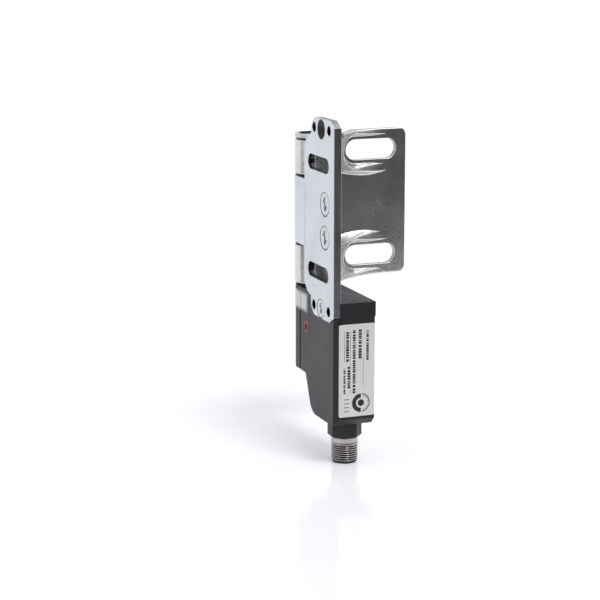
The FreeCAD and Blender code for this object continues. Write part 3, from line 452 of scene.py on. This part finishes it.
def softened(node, mats, edge, body, dark=None):
    """Copy of a CAD node, which it replaces, with its flat faces whole again and every edge
    slightly rounded. Faces whose middle the dark test picks take the second material."""
    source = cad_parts[node]
    mesh = source.data.copy()
    work = bmesh.new()
    work.from_mesh(mesh)
    weld, flat_angle = 1e-6, math.radians(0.5)
    bmesh.ops.remove_doubles(work, verts=work.verts, dist=weld)
    bmesh.ops.dissolve_limit(work, angle_limit=flat_angle, verts=work.verts,
                             edges=work.edges, delimit=set())
    for face in work.faces:
        face.material_index = int(dark is not None and dark(face.calc_center_median()))
    work.to_mesh(mesh)
    work.free()
    mesh.polygons.foreach_set("use_smooth", [True] * len(mesh.polygons))
    mesh.set_sharp_from_angle(angle=math.radians(35))
    mesh.materials.clear()
    for mat in mats:
        mesh.materials.append(mat)
    obj = bpy.data.objects.new(node + "_shell", mesh)
    bpy.context.scene.collection.objects.link(obj)
    bevel = obj.modifiers.new("soft_edges", "BEVEL")
    bevel.width = edge
    bevel.segments = 2
    bevel.limit_method = "ANGLE"
    bevel.angle_limit = math.radians(40)
    bevel.harden_normals = True
    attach(obj, body)
    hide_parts(node)


# The faces deep in each screw's recess take the painted shade.
for node in ("plate_screws", "housing_screw"):
    softened(node, (screw_steel, recess_shade_black), SCREW_EDGE, "switch",
             lambda middle: middle.x > RECESS_FROM)
for node in ("cover_screws", "block_screws"):
    dress(node, screw_steel)


# Shaft, bushes, sleeves and pins: ground steel shaft in plastic bushes. Only the collar on
# top and the bushes' thin flanges show.
shaft_steel = metal("shaft_steel", (0.42, 0.4, 0.38), 0.3, grain=(1.0, 1.0, 0.1),
                    scale=700.0, bump=0.03)
cap_steel = metal("cap_steel", (0.55, 0.55, 0.57), 0.28, scale=600.0, bump=0.03)
for node in ("hinge_shaft", "drive_pins", "cam_pin", "retaining_ring"):
    dress(node, shaft_steel)
# The sleeves take the same painted shade of the bores.
for node in ("upper_sleeve", "lower_sleeve"):
    dress(node, bore_shade_steel)


def plastic(name, colour, rough, grain=2600.0, bump=0.08):
    """Moulded plastic: a fine eroded grain in the relief, with slow changes of gloss."""
    cloud_scale, relief_depth = 40.0, 0.1 * MM
    mat, tree, shader = blank_material(name, colour, rough)
    coords = tree.nodes.new("ShaderNodeTexCoord").outputs["Object"]
    gloss = mapped(tree, noise(tree, coords, cloud_scale, 4.0), rough * 0.8, rough * 1.2)
    link(tree, gloss, shader.inputs["Roughness"])
    raise_relief(tree, shader, noise(tree, coords, grain, 3.0), bump, relief_depth)
    shader.inputs["Specular IOR Level"].default_value = 0.3
    return mat


bush_black = plastic("bush_black", (0.02, 0.02, 0.02), 0.45)
for node in ("upper_bush", "lower_bush"):
    dress(node, bush_black)


def turned(profile, centre, count=96, wave=None, dark=()):
    """Turned piece: a closed profile of (radius, height) pairs carried round a vertical axis.
    wave, where given, maps radius, angle and height to a new radius. The profile's dark steps
    take the second material."""
    a = np.linspace(0, 2 * np.pi, count, endpoint=False)[:, None]
    r = np.broadcast_to(profile[None, :, 0], (count, len(profile)))
    z = np.broadcast_to(profile[None, :, 1], (count, len(profile)))
    r = r if wave is None else wave(r, a, z)
    verts = np.stack([centre[0] + r * np.cos(a), centre[1] + r * np.sin(a), z], 2).reshape(-1, 3)
    i = np.arange(count)[:, None] * len(profile)
    j = np.roll(i, -1, 0)
    k = np.arange(len(profile))[None, :]
    m = np.roll(k, -1, 1)
    faces = np.stack([i + k, j + k, j + m, i + m], 2).reshape(-1, 4).tolist()
    return verts, faces, np.tile(np.isin(k[0], dark) * 1, count)


CAP_TOP, CAP_THICK, CAP_RIM, CAP_DEEP = 34.2 * MM, 1.9 * MM, 1.8 * MM, 1.0 * MM
CAP_ROUND, CAP_LIP, CAP_FILLET, SHAFT_R = 0.3 * MM, 0.2 * MM, 0.1 * MM, 5.0 * MM
CAP_CORNER = 0.3 * CAP_ROUND
cap_profile = np.array([
    (KNUCKLE - CAP_ROUND, CAP_TOP), (KNUCKLE - CAP_CORNER, CAP_TOP - CAP_CORNER),
    (KNUCKLE, CAP_TOP - CAP_ROUND), (KNUCKLE, CAP_TOP - CAP_THICK + CAP_ROUND),
    (KNUCKLE - CAP_ROUND, CAP_TOP - CAP_THICK), (SHAFT_R, CAP_TOP - CAP_THICK),
    (SHAFT_R, CAP_TOP - CAP_DEEP), (KNUCKLE - CAP_RIM - CAP_FILLET, CAP_TOP - CAP_DEEP),
    (KNUCKLE - CAP_RIM, CAP_TOP - CAP_DEEP + CAP_FILLET),
    (KNUCKLE - CAP_RIM, CAP_TOP - CAP_LIP), (KNUCKLE - CAP_RIM + CAP_LIP, CAP_TOP)])
# The cap's recessed steps take the painted shade of the bore steel.
make_piece("cap_ring", *turned(cap_profile, AXIS, dark=(4, 5, 6, 7, 8)),
           (cap_steel, bore_shade_steel), "door", ["end_cap"], slot="cap_steel")


# Door leaf: sheet pressed forwards into two arms with flat slot seats, rolled round the
# shaft at their ends and pinned to it. Darker than the fixed leaf, with a sideways grain.
door_steel = metal("door_steel", (0.64, 0.635, 0.62), 0.25, grain=(0.8, 1.0, 1.0),
                   scale=1300.0, bump=0.22, spread=0.4, marks=0.3)
door_cut = metal("door_cut", (0.36, 0.355, 0.345), 0.35, grain=(0.8, 1.0, 1.0), bump=0.1,
                 spread=0.3)
DOOR_HALF, DOOR_FAR, DOOR_BACK = 33.8 * MM, 56.6 * MM, 37.1 * MM
DOOR_FRONT = DOOR_BACK - SHEET
MID_X, CORNER_R = 20.6 * MM, 3.0 * MM
RISE, BEND = math.radians(36.0), 38.0 * MM
RAMP_FOOT, RAMP_LEAN, RAMP_STEEPER, RAMP_WALL = 13.2 * MM, 0.45, 0.35, 3.8 * MM
RAMP_DEEPEST, RAMP_IN, RAMP_OUT = 36.0 * MM, 2.2 * MM, 1.0 * MM
RAMP_BLEND, SEAT_BLEND, FOOT_BLEND = 2.2 * MM, 2.0 * MM, 1.5 * MM
DOOR_SLOT_X, DOOR_SLOT_Z = 39.2 * MM, 24.5 * MM
DOOR_SLOT_LEN, DOOR_SLOT_W = 25.0 * MM, 9.3 * MM
SEAT_MARGIN, SEAT_WALL, SEAT_STEEP = 1.85 * MM, 2.6 * MM, 3.5
DOOR_EDGE, DOOR_STEP = 0.55 * MM, 0.45 * MM


def soft_min(a, b, blend):
    """Smaller of two heights, rounded where they are closer than the blend."""
    h = np.clip(0.5 + 0.5 * (b - a) / blend, 0, 1)
    return b + (a - b) * h - blend * h * (1 - h)


def arm_rise(x, bend):
    """Height of an arm over the flat plane: nothing, then the bend's arc, then the slope."""
    lean = (BEND + AXIS.y - DOOR_FRONT) * math.cos(RISE)
    centre_x = AXIS.x + (KNUCKLE + BEND - lean) / math.sin(RISE)
    end = bend * math.sin(RISE)
    s = np.clip(centre_x - x, 0, end)
    past = np.clip(centre_x - end - x, 0, None)
    return bend - np.sqrt(bend ** 2 - s ** 2) + past * math.tan(RISE)


def slot_distance(x, z):
    """Distance from the nearer slot's middle line."""
    reach = (DOOR_SLOT_LEN - DOOR_SLOT_W) / 2
    dx = np.clip(np.abs(x - DOOR_SLOT_X) - reach, 0, None)
    return np.hypot(dx, np.abs(z) - DOOR_SLOT_Z)


def door_height(x, z, back_side):
    """Height over the flat plane: the arm's rise, cut down softly by the ramp at its inner
    side and by the wall of the slot's seat. The ramp's foot bows towards the middle of the
    leaf, and the ramp steepens towards the hinge."""
    arm = arm_rise(x, BEND + (SHEET if back_side else 0.0))
    to_hinge = np.clip((RAMP_DEEPEST - x) / (RAMP_DEEPEST - MID_X), 0, 1)
    slot_end = DOOR_SLOT_X + DOOR_SLOT_LEN / 2
    to_edge = np.clip((x - RAMP_DEEPEST) / (slot_end - RAMP_DEEPEST), 0, 1)
    lean = RAMP_LEAN - RAMP_STEEPER * to_hinge
    foot = RAMP_FOOT + RAMP_IN * to_hinge ** 2 + RAMP_OUT * to_edge ** 2
    if back_side:
        foot = foot + RAMP_WALL - lean * SHEET
    ramp = (np.abs(z) - foot) / lean
    wall = DOOR_SLOT_W / 2 + SEAT_MARGIN + (SEAT_WALL if back_side else 0.0)
    seat = (slot_distance(x, z) - wall) * SEAT_STEEP
    h = soft_min(soft_min(arm, ramp, RAMP_BLEND), seat, SEAT_BLEND)
    foot_blend = np.clip(arm * 0.9, 1e-7, FOOT_BLEND)
    return np.maximum(-soft_min(-h, 0 * h, foot_blend), 0)


def door_outline():
    """Door leaf's flat outline, anticlockwise in X and Z, with its outer corners rounded."""
    corner = arc_points(DOOR_FAR - CORNER_R, DOOR_HALF - CORNER_R, CORNER_R, 0, 90, 10)
    start = np.array([(MID_X, -DOOR_HALF)])
    lower = corner[::-1] * (1, -1)
    side = np.array([(MID_X, DOOR_HALF)])
    return np.concatenate([start, lower, corner, side])


def refine(loop, step):
    """Closed loop with points added so that no side is longer than the step."""
    nxt = np.roll(loop, -1, 0)
    count = np.maximum(np.ceil(np.linalg.norm(nxt - loop, axis=1) / step), 1).astype(int)
    pieces = [a + (b - a) * (np.arange(n) / n)[:, None] for a, b, n in zip(loop, nxt, count)]
    return np.concatenate(pieces)


def door_field(step):
    """Points inside the leaf: rows along X that lie closer where the ramps are, and rings
    round each slot that lie closer where the seat's wall is."""
    ramp_rows = np.arange(12.2, 19.0, 0.24) * MM
    wall_near, wall_foot, wall_far = -0.6, 1.5, 2.4
    rows = np.concatenate([np.arange(-DOOR_HALF + step, DOOR_HALF, step), ramp_rows, -ramp_rows])
    xs = np.arange(MID_X + step, DOOR_FAR, step)
    field = np.stack(np.meshgrid(xs, rows), 2).reshape(-1, 2)
    gap = slot_distance(field[:, 0], field[:, 1]) - DOOR_SLOT_W / 2 - SEAT_MARGIN
    rings = [field[(gap < (wall_near - 0.1) * MM) | (gap > wall_far * MM)]]
    for reach in np.concatenate([np.arange(wall_near, wall_foot, 0.13),
                                 np.arange(wall_foot, wall_far, 0.3)]) * MM:
        grown = 2 * (SEAT_MARGIN + reach)
        for sign in (1, -1):
            rings.append(refine(slot_loop(DOOR_SLOT_X, sign * DOOR_SLOT_Z, DOOR_SLOT_LEN + grown,
                                          DOOR_SLOT_W + grown, 36), step))
    return np.concatenate(rings)


def door_sheet():
    """Pressed sheet: front and back heights over a field of points between the outline and
    the slots, joined at every rim by a rounded edge."""
    loops = [refine(door_outline(), DOOR_STEP)]
    for sign in (1, -1):
        loops.append(refine(slot_loop(DOOR_SLOT_X, sign * DOOR_SLOT_Z, DOOR_SLOT_LEN,
                                      DOOR_SLOT_W, 28), DOOR_STEP))
    edges = (DOOR_EDGE, EDGE, EDGE)
    field = door_field(DOOR_STEP)
    rims = [loop + inward(loop) * edge for loop, edge in zip(loops, edges)]
    free = inside(field, rims[0] + inward(rims[0]) * DOOR_STEP / 2)
    for rim in rims[1:]:
        free &= ~inside(field, rim + inward(rim) * DOOR_STEP / 2)
    flat, tris = fill_loops(rims, field[free])
    front = DOOR_FRONT - door_height(flat[:, 0], flat[:, 1], False)
    rear = DOOR_BACK - door_height(flat[:, 0], flat[:, 1], True)
    verts = [np.column_stack([flat[:, 0], front, flat[:, 1]]),
             np.column_stack([flat[:, 0], rear, flat[:, 1]])]
    faces = tris[:, ::-1].tolist() + (tris + len(flat)).tolist()
    cut = [0] * len(faces)
    start = 2 * len(flat)
    for loop, edge in zip(loops, edges):
        section = rounded_edge(SHEET, edge, 6)
        half = len(section) // 2
        long_step = np.hypot(*np.diff(section, axis=0).T) > EDGE
        n = inward(loop)
        ring = loop[:, None, :] + n[:, None, :] * section[None, :, :1]
        fronts = DOOR_FRONT - door_height(ring[..., 0], ring[..., 1], False)
        rears = DOOR_BACK - door_height(ring[..., 0], ring[..., 1], True)
        y = np.where(np.arange(len(section))[None, :] < half, fronts + section[None, :, 1],
                     rears - (SHEET - section[None, :, 1]))
        verts.append(np.stack([ring[..., 0], y, ring[..., 1]], 2).reshape(-1, 3))
        i = np.arange(len(loop))[:, None] * len(section)
        j = np.roll(i, -1, 0)
        k = np.arange(len(section) - 1)[None, :]
        quads = np.stack([i + k, j + k, j + k + 1, i + k + 1], 2).reshape(-1, 4) + start
        faces += quads.tolist()
        cut += np.tile(long_step * 1, len(loop)).tolist()
        start += len(loop) * len(section)
    return np.concatenate(verts), faces, cut


def arm_root():
    """Root of an arm's strip in plan, from the roll's tangent out past the sheet's edge."""
    n = np.array([math.sin(RISE), -math.cos(RISE)])
    e = np.array([math.cos(RISE), math.sin(RISE)])
    centre = np.array([AXIS.x, AXIS.y])
    reach = 6.5 * MM
    inner = centre + n * (KNUCKLE - SHEET) + e * reach
    outer = centre + n * KNUCKLE + e * reach
    return np.array([inner, outer])


ARM_IN, ARM_TOP, ARM_LOW = 16.2 * MM, 31.5 * MM, -33.5 * MM
door_parts = [door_sheet()]
door_parts += [rolled_strip(math.degrees(RISE) - 90, arm_root(), *heights)
               for heights in ((ARM_IN, ARM_TOP), (ARM_LOW, -ARM_IN))]
make_piece("door_leaf_sheet", *joined(*door_parts), (door_steel, door_cut), "door",
           ["door_leaf"], sharp=40.0, slot="door_steel")


# Housing: black glass-filled plastic, moulded in one piece. Its top carries the shaft, and
# the fixed leaf's lower tab sits in its side.
housing_black = plastic("housing_black", (0.012, 0.012, 0.014), 0.4, bump=0.12)
cover_black = plastic("cover_black", (0.012, 0.012, 0.014), 0.45, bump=0.12)
seal_black = plastic("seal_black", (0.012, 0.012, 0.012), 0.6, grain=1200.0)
HOUSING_EDGE, COVER_EDGE = 0.2 * MM, 0.15 * MM
softened("housing_body", (housing_black,), HOUSING_EDGE, "switch")
softened("housing_cover", (cover_black,), COVER_EDGE, "switch")
for node in ("shaft_seal", "cover_gasket", "connector_oring"):
    dress(node, seal_black)


# Inside the housing: spiral cam, plunger, contact bridge and strips, return spring, leads
# and the block that carries them. None of it shows with the cover on.
cam_white = plastic("cam_white", (0.75, 0.73, 0.68), 0.4)
block_grey = plastic("block_grey", (0.55, 0.53, 0.48), 0.5)
contact_brass = metal("contact_brass", (0.8, 0.6, 0.28), 0.25, scale=500.0, bump=0.02)
spring_steel = metal("spring_steel", (0.5, 0.5, 0.52), 0.25, scale=500.0, bump=0.02)
lead_brown = plastic("lead_brown", (0.2, 0.09, 0.04), 0.35)
for node in ("cam_disc", "plunger"):
    dress(node, cam_white)
dress("contact_block", block_grey)
for node in ("fixed_contacts", "contact_bridge", "connector_pins"):
    dress(node, contact_brass)
dress("return_spring", spring_steel)
dress("inner_leads", lead_brown)


# Setting screw on the housing's side: a small screw, set at the works and then sealed with
# red paint, which stands round it as a thin uneven ring.
red_paint = plastic("red_paint", (0.28, 0.05, 0.04), 0.4)
dress("setting_screw", red_paint)
PAINT_Y, PAINT_Z, PAINT_IN, PAINT_OUT = 15.0 * MM, -51.6 * MM, 1.7 * MM, 2.6 * MM
PAINT_FACE = 0.3 * MM


def paint_ring():
    """Ring of sealing paint on the side, its rims uneven by a few sine waves."""
    a = np.linspace(0, 2 * np.pi, 72, endpoint=False)
    uneven = 1 + 0.1 * np.sin(3 * a + 0.6) + 0.07 * np.sin(5 * a + 2.1) + 0.05 * np.sin(8 * a)
    rim, hole = (np.stack([PAINT_Y + radius * uneven * np.cos(a),
                           PAINT_Z + radius * uneven * np.sin(a)], 1)
                 for radius in (PAINT_OUT, PAINT_IN))
    side = np.array([(0.1, 0.0), (0.0, 0.06), (0.0, 0.2)]) * MM
    return sheet_parts([rim, hole[::-1]], [side, side],
                       lambda p: p[:, [2, 0, 1]] + (PAINT_FACE, 0, 0))


make_piece("setting_screw_paint", *paint_ring(), (red_paint,) * 3, "switch")


# Labels: thin silver plates glued to the front and round the side. Where the real ones carry
# a maker's text they have plain ruled rows, a dial with ticks and an empty frame in black ink.
label_silver = metal("label_silver", (0.6, 0.6, 0.585), 0.45, bump=0.02, spread=0.04)
label_silver.node_tree.nodes["Principled BSDF"].inputs["Metallic"].default_value = 0.35
ink_black = plastic("ink_black", (0.02, 0.02, 0.02), 0.5)
PLATE_X, PLATE_Z = (2.3 * MM, 19.05 * MM), (-85.6 * MM, -44.1 * MM)
PLATE_FACE, PLATE_THICK, PLATE_CORNER, INK = -19.6 * MM, 0.3 * MM, 0.8 * MM, 0.02 * MM
TAG_Y, TAG_Z, TAG_FACE = (14.2 * MM, 26.9 * MM), (-44.6 * MM, -37.1 * MM), 0.25 * MM
TAG_LINE, TAG_MIDDLE = 0.4 * MM, 21.6 * MM


def slab(outline, low_depth, high_depth, place):
    """Flat closed piece: an outline in two axes between two depths along the third."""
    return sheet_parts([outline], [np.array([(0, low_depth), (0, high_depth)])], place)


def rounded_box(a0, a1, b0, b1, radius, count=8):
    """Outline of a rectangle with round corners, anticlockwise."""
    return np.concatenate([arc_points(a1 - radius, b0 + radius, radius, -90, 0, count),
                           arc_points(a1 - radius, b1 - radius, radius, 0, 90, count),
                           arc_points(a0 + radius, b1 - radius, radius, 90, 180, count),
                           arc_points(a0 + radius, b0 + radius, radius, 180, 270, count)])


def bar(a, b, wide, long):
    """Outline of a rectangle about its centre, anticlockwise."""
    a0, a1, b0, b1 = a - wide / 2, a + wide / 2, b - long / 2, b + long / 2
    return np.array([(a0, b0), (a1, b0), (a1, b1), (a0, b1)])


def greeked_row(x, z_from, z_to, wide, rng):
    """Row of short bars with small gaps that stands for a line of print."""
    out, z, shortest = [], z_from, 0.2 * MM
    while z < z_to:
        length = min(rng.uniform(0.5, 1.1) * MM, z_to - z)
        if length > shortest:
            out.append(bar(x, z + length / 2, wide, length))
        z += length + rng.choice([0.2, 0.2, 0.2, 0.55]) * MM
    return out


def dial(x, z, radius):
    """Dial: thick half ring, hub, and ticks on the other half."""
    half = np.concatenate([arc_points(x, z, radius, 90, 270, 28),
                           arc_points(x, z, radius * 0.55, 270, 90, 28)])
    ring = np.concatenate([arc_points(x, z, radius, -80, 80, 24),
                           arc_points(x, z, radius * 0.9, 80, -80, 24)])
    hub = arc_points(x, z, radius * 0.36, 0, 345, 24)
    out = [half, ring, hub]
    centre = np.array([x, z])
    for angle in np.radians(np.linspace(-70, 70, 8)):
        d = np.array([math.cos(angle), math.sin(angle)])
        near, far = centre + d * 0.72 * radius, centre + d * 0.9 * radius
        half_width = np.array([-math.sin(angle), math.cos(angle)]) * 0.03 * radius
        out.append(np.array([near - half_width, far - half_width, far + half_width,
                             near + half_width]))
    return out


def plate_print():
    """Everything printed on the front plate, as outlines in X and Z. The rows' numbers are
    millimetres from the plate's left and top: across, top, bottom and width."""
    rows = ((4.0, 3.0, 16.5, 1.3), (7.1, 2.6, 31.0, 1.3), (9.9, 2.4, 15.5, 1.5),
            (4.6, 18.5, 28.5, 1.2), (2.6, 19.5, 31.0, 0.9), (13.4, 3.2, 16.5, 1.1))
    thin_lines = ((2.6, 3.0, 16.5), (5.3, 3.0, 31.0), (11.4, 15.0, 28.0))
    line_width, dash_x, dash_width, dash_height = 0.14 * MM, 3.6 * MM, 2.2 * MM, 0.35 * MM
    rng = np.random.RandomState(4)
    left, top_z = PLATE_X[0], PLATE_Z[1]
    out = []
    for x, top, bottom, wide in rows:
        out += greeked_row(left + x * MM, top_z - bottom * MM, top_z - top * MM, wide * MM, rng)
    for x, top, bottom in thin_lines:
        out.append(bar(left + x * MM, top_z - (top + bottom) / 2 * MM, line_width,
                       (bottom - top) * MM))
    out += dial(left + 10.4 * MM, top_z - 35.5 * MM, 4.2 * MM)
    for z in (33.6, 35.4, 37.2, 39.0):
        out.append(bar(left + dash_x, top_z - z * MM, dash_width, dash_height))
    return out


def tag_frame():
    """Empty frame on the side label, with a line down its middle, as outlines in Y and Z."""
    across, middle = TAG_Y[1] - TAG_Y[0], (TAG_Y[0] + TAG_Y[1]) / 2
    upright, centre = TAG_Z[1] - TAG_Z[0] - TAG_LINE, (TAG_Z[0] + TAG_Z[1]) / 2
    return ([bar(middle, z, across, TAG_LINE) for z in TAG_Z]
            + [bar(y, centre, TAG_LINE, upright) for y in (TAG_Y[0] + TAG_LINE / 2, TAG_MIDDLE)])


def on_front(p):
    """Columns (X, Z, depth) as X, Y, Z on the housing's front."""
    return p[:, [0, 2, 1]]


def on_side(p):
    """Columns (Y, Z, depth) as X, Y, Z on the housing's side."""
    return p[:, [2, 0, 1]]


make_piece("front_plate", *slab(rounded_box(*PLATE_X, *PLATE_Z, PLATE_CORNER),
                                PLATE_FACE + INK, PLATE_FACE + PLATE_THICK, on_front),
           (label_silver,), "switch", ["name_plate"], slot="plate_silver")
dress("side_label", label_silver)
for name, outlines, low_face, high_face, place in (
        ("front_plate_print", plate_print(), PLATE_FACE, PLATE_FACE + 2 * INK, on_front),
        ("side_label_print", tag_frame(), TAG_FACE - INK, TAG_FACE + INK, on_side)):
    ink = [slab(outline, low_face, high_face, place) for outline in outlines]
    make_piece(name, *joined(*ink), (ink_black, ink_black), "switch")


# Connector: nickel-plated brass shell with a rolled fine thread under a black octagon
# collar. Its black insert ends in a rim that stands out below the thread.
nickel = metal("nickel", (0.62, 0.6, 0.57), 0.2, scale=500.0, bump=0.03)
thread_nickel = metal("thread_nickel", (0.62, 0.59, 0.56), 0.2, scale=500.0, bump=0.03)
collar_black = plastic("collar_black", (0.014, 0.014, 0.016), 0.42)
insert_black = plastic("insert_black", (0.015, 0.015, 0.015), 0.45)
SOCKET_AXIS = Vector((10.0, -7.4)) * MM
COLLAR_TOP, COLLAR_LOW, COLLAR_FLATS = -90.0 * MM, -97.6 * MM, 14.0 * MM
NECK_LOW, THREAD_LOW, SHELL_LOW = -100.4 * MM, -108.2 * MM, -109.1 * MM
THREAD_R, THREAD_CORE, THREAD_PITCH, BORE_R = 6.0 * MM, 5.45 * MM, 1.0 * MM, 4.9 * MM
RIM_R, RIM_ROUND, RIM_SUNK = 5.4 * MM, 0.25 * MM, 0.1 * MM


def paint_groove_shade(mat):
    """Painted shade in the thread's grooves: the tone falls towards the core, with the distance
    from the axis.
    """
    tree = mat.node_tree
    shader = tree.nodes["Principled BSDF"]
    plain = shader.inputs["Base Color"].links[0].from_socket
    from_axis, across, reach, groove_shade = (tree.nodes.new("ShaderNodeVectorMath") for _ in range(4))
    from_axis.operation, across.operation = "SUBTRACT", "MULTIPLY"
    reach.operation, groove_shade.operation = "LENGTH", "SCALE"
    from_axis.inputs[1].default_value = (SOCKET_AXIS.x, SOCKET_AXIS.y, 0.0)
    across.inputs[1].default_value = (1.0, 1.0, 0.0)
    link(tree, tree.nodes.new("ShaderNodeTexCoord").outputs["Object"], from_axis.inputs[0])
    link(tree, from_axis.outputs["Vector"], across.inputs[0])
    link(tree, across.outputs["Vector"], reach.inputs[0])
    tone = mapped(tree, reach.outputs["Value"], 0.06, 0.75, THREAD_CORE, THREAD_R - 0.05 * MM)
    link(tree, plain, groove_shade.inputs[0])
    link(tree, tone, groove_shade.inputs["Scale"])
    link(tree, groove_shade.outputs["Vector"], shader.inputs["Base Color"])


# The thread's grooves take painted shade.
paint_groove_shade(thread_nickel)


def collar():
    """Octagon collar: its outline drawn in towards the lower edge, with a bore."""
    half_turn = 22.5
    a = np.radians(np.arange(8) * 2 * half_turn + half_turn)
    reach = COLLAR_FLATS / 2 / math.cos(math.radians(half_turn))
    outer = np.stack([SOCKET_AXIS.x + reach * np.cos(a), SOCKET_AXIS.y + reach * np.sin(a)], 1)
    steep = np.array([(0.25, 0.0), (0.0, 0.25), (0.0, 6.5), (0.12, 6.8), (1.0, 7.6)]) * MM
    bore = np.array([(0.0, 0.0), (0.0, 7.6)]) * MM
    hole = circle_loop(SOCKET_AXIS.x, SOCKET_AXIS.y, BORE_R, 64)
    return sheet_parts([outer, hole], [steep, bore],
                       lambda p: p * (1, 1, -1) + (0, 0, COLLAR_TOP))


def thread_wave(r, a, z):
    """Radius of the thread: a V groove that climbs one pitch a turn, fading in under the neck
    and cut back to the core at the end."""
    phase = np.mod(z / THREAD_PITCH + a / (2 * np.pi), 1.0)
    groove = np.clip(1.25 - np.abs(2 * phase - 1) * 1.5, 0, 1)
    fade = np.clip((NECK_LOW - z) / (0.6 * MM), 0, 1)
    cone = THREAD_CORE + np.clip(z - THREAD_LOW, 0, None) * 1.2
    cut = THREAD_R - (THREAD_R - THREAD_CORE) * groove * fade
    return np.where(r > THREAD_R - 0.01 * MM, np.minimum(cut, cone), r)


def shell_profile():
    """Closed profile of the shell: thread rows up the outside, neck, collar end and bore."""
    rows = np.arange(THREAD_LOW, NECK_LOW - 0.05 * MM, 0.07 * MM)
    outside = np.column_stack([np.full(len(rows), THREAD_R), rows])
    neck_r, groove_r, top = THREAD_R - 0.02 * MM, THREAD_R - 0.35 * MM, COLLAR_LOW + 0.2 * MM
    neck = np.array([(neck_r, NECK_LOW), (groove_r, NECK_LOW + 0.25 * MM),
                     (groove_r, NECK_LOW + 0.5 * MM), (neck_r, NECK_LOW + 0.7 * MM),
                     (neck_r, top), (BORE_R, top), (BORE_R, THREAD_LOW)])
    return np.concatenate([outside, neck])


dress("connector_nut", nickel)
dress("connector_insert", insert_black)
make_piece("connector_collar", *collar(), (collar_black, collar_black), "switch",
           ["connector_shell"], slot="connector_nickel")
make_piece("connector_thread", *turned(shell_profile(), SOCKET_AXIS, 120, thread_wave),
           (thread_nickel,), "switch", sharp=50.0, slot="connector_nickel")
rim_profile = np.array([(RIM_R, THREAD_LOW + RIM_SUNK), (BORE_R, THREAD_LOW + RIM_SUNK),
                        (BORE_R, SHELL_LOW), (RIM_R - RIM_ROUND, SHELL_LOW),
                        (RIM_R, SHELL_LOW + RIM_ROUND)])
make_piece("connector_rim", *turned(rim_profile, SOCKET_AXIS), (insert_black,), "switch",
           slot="insert_plastic")
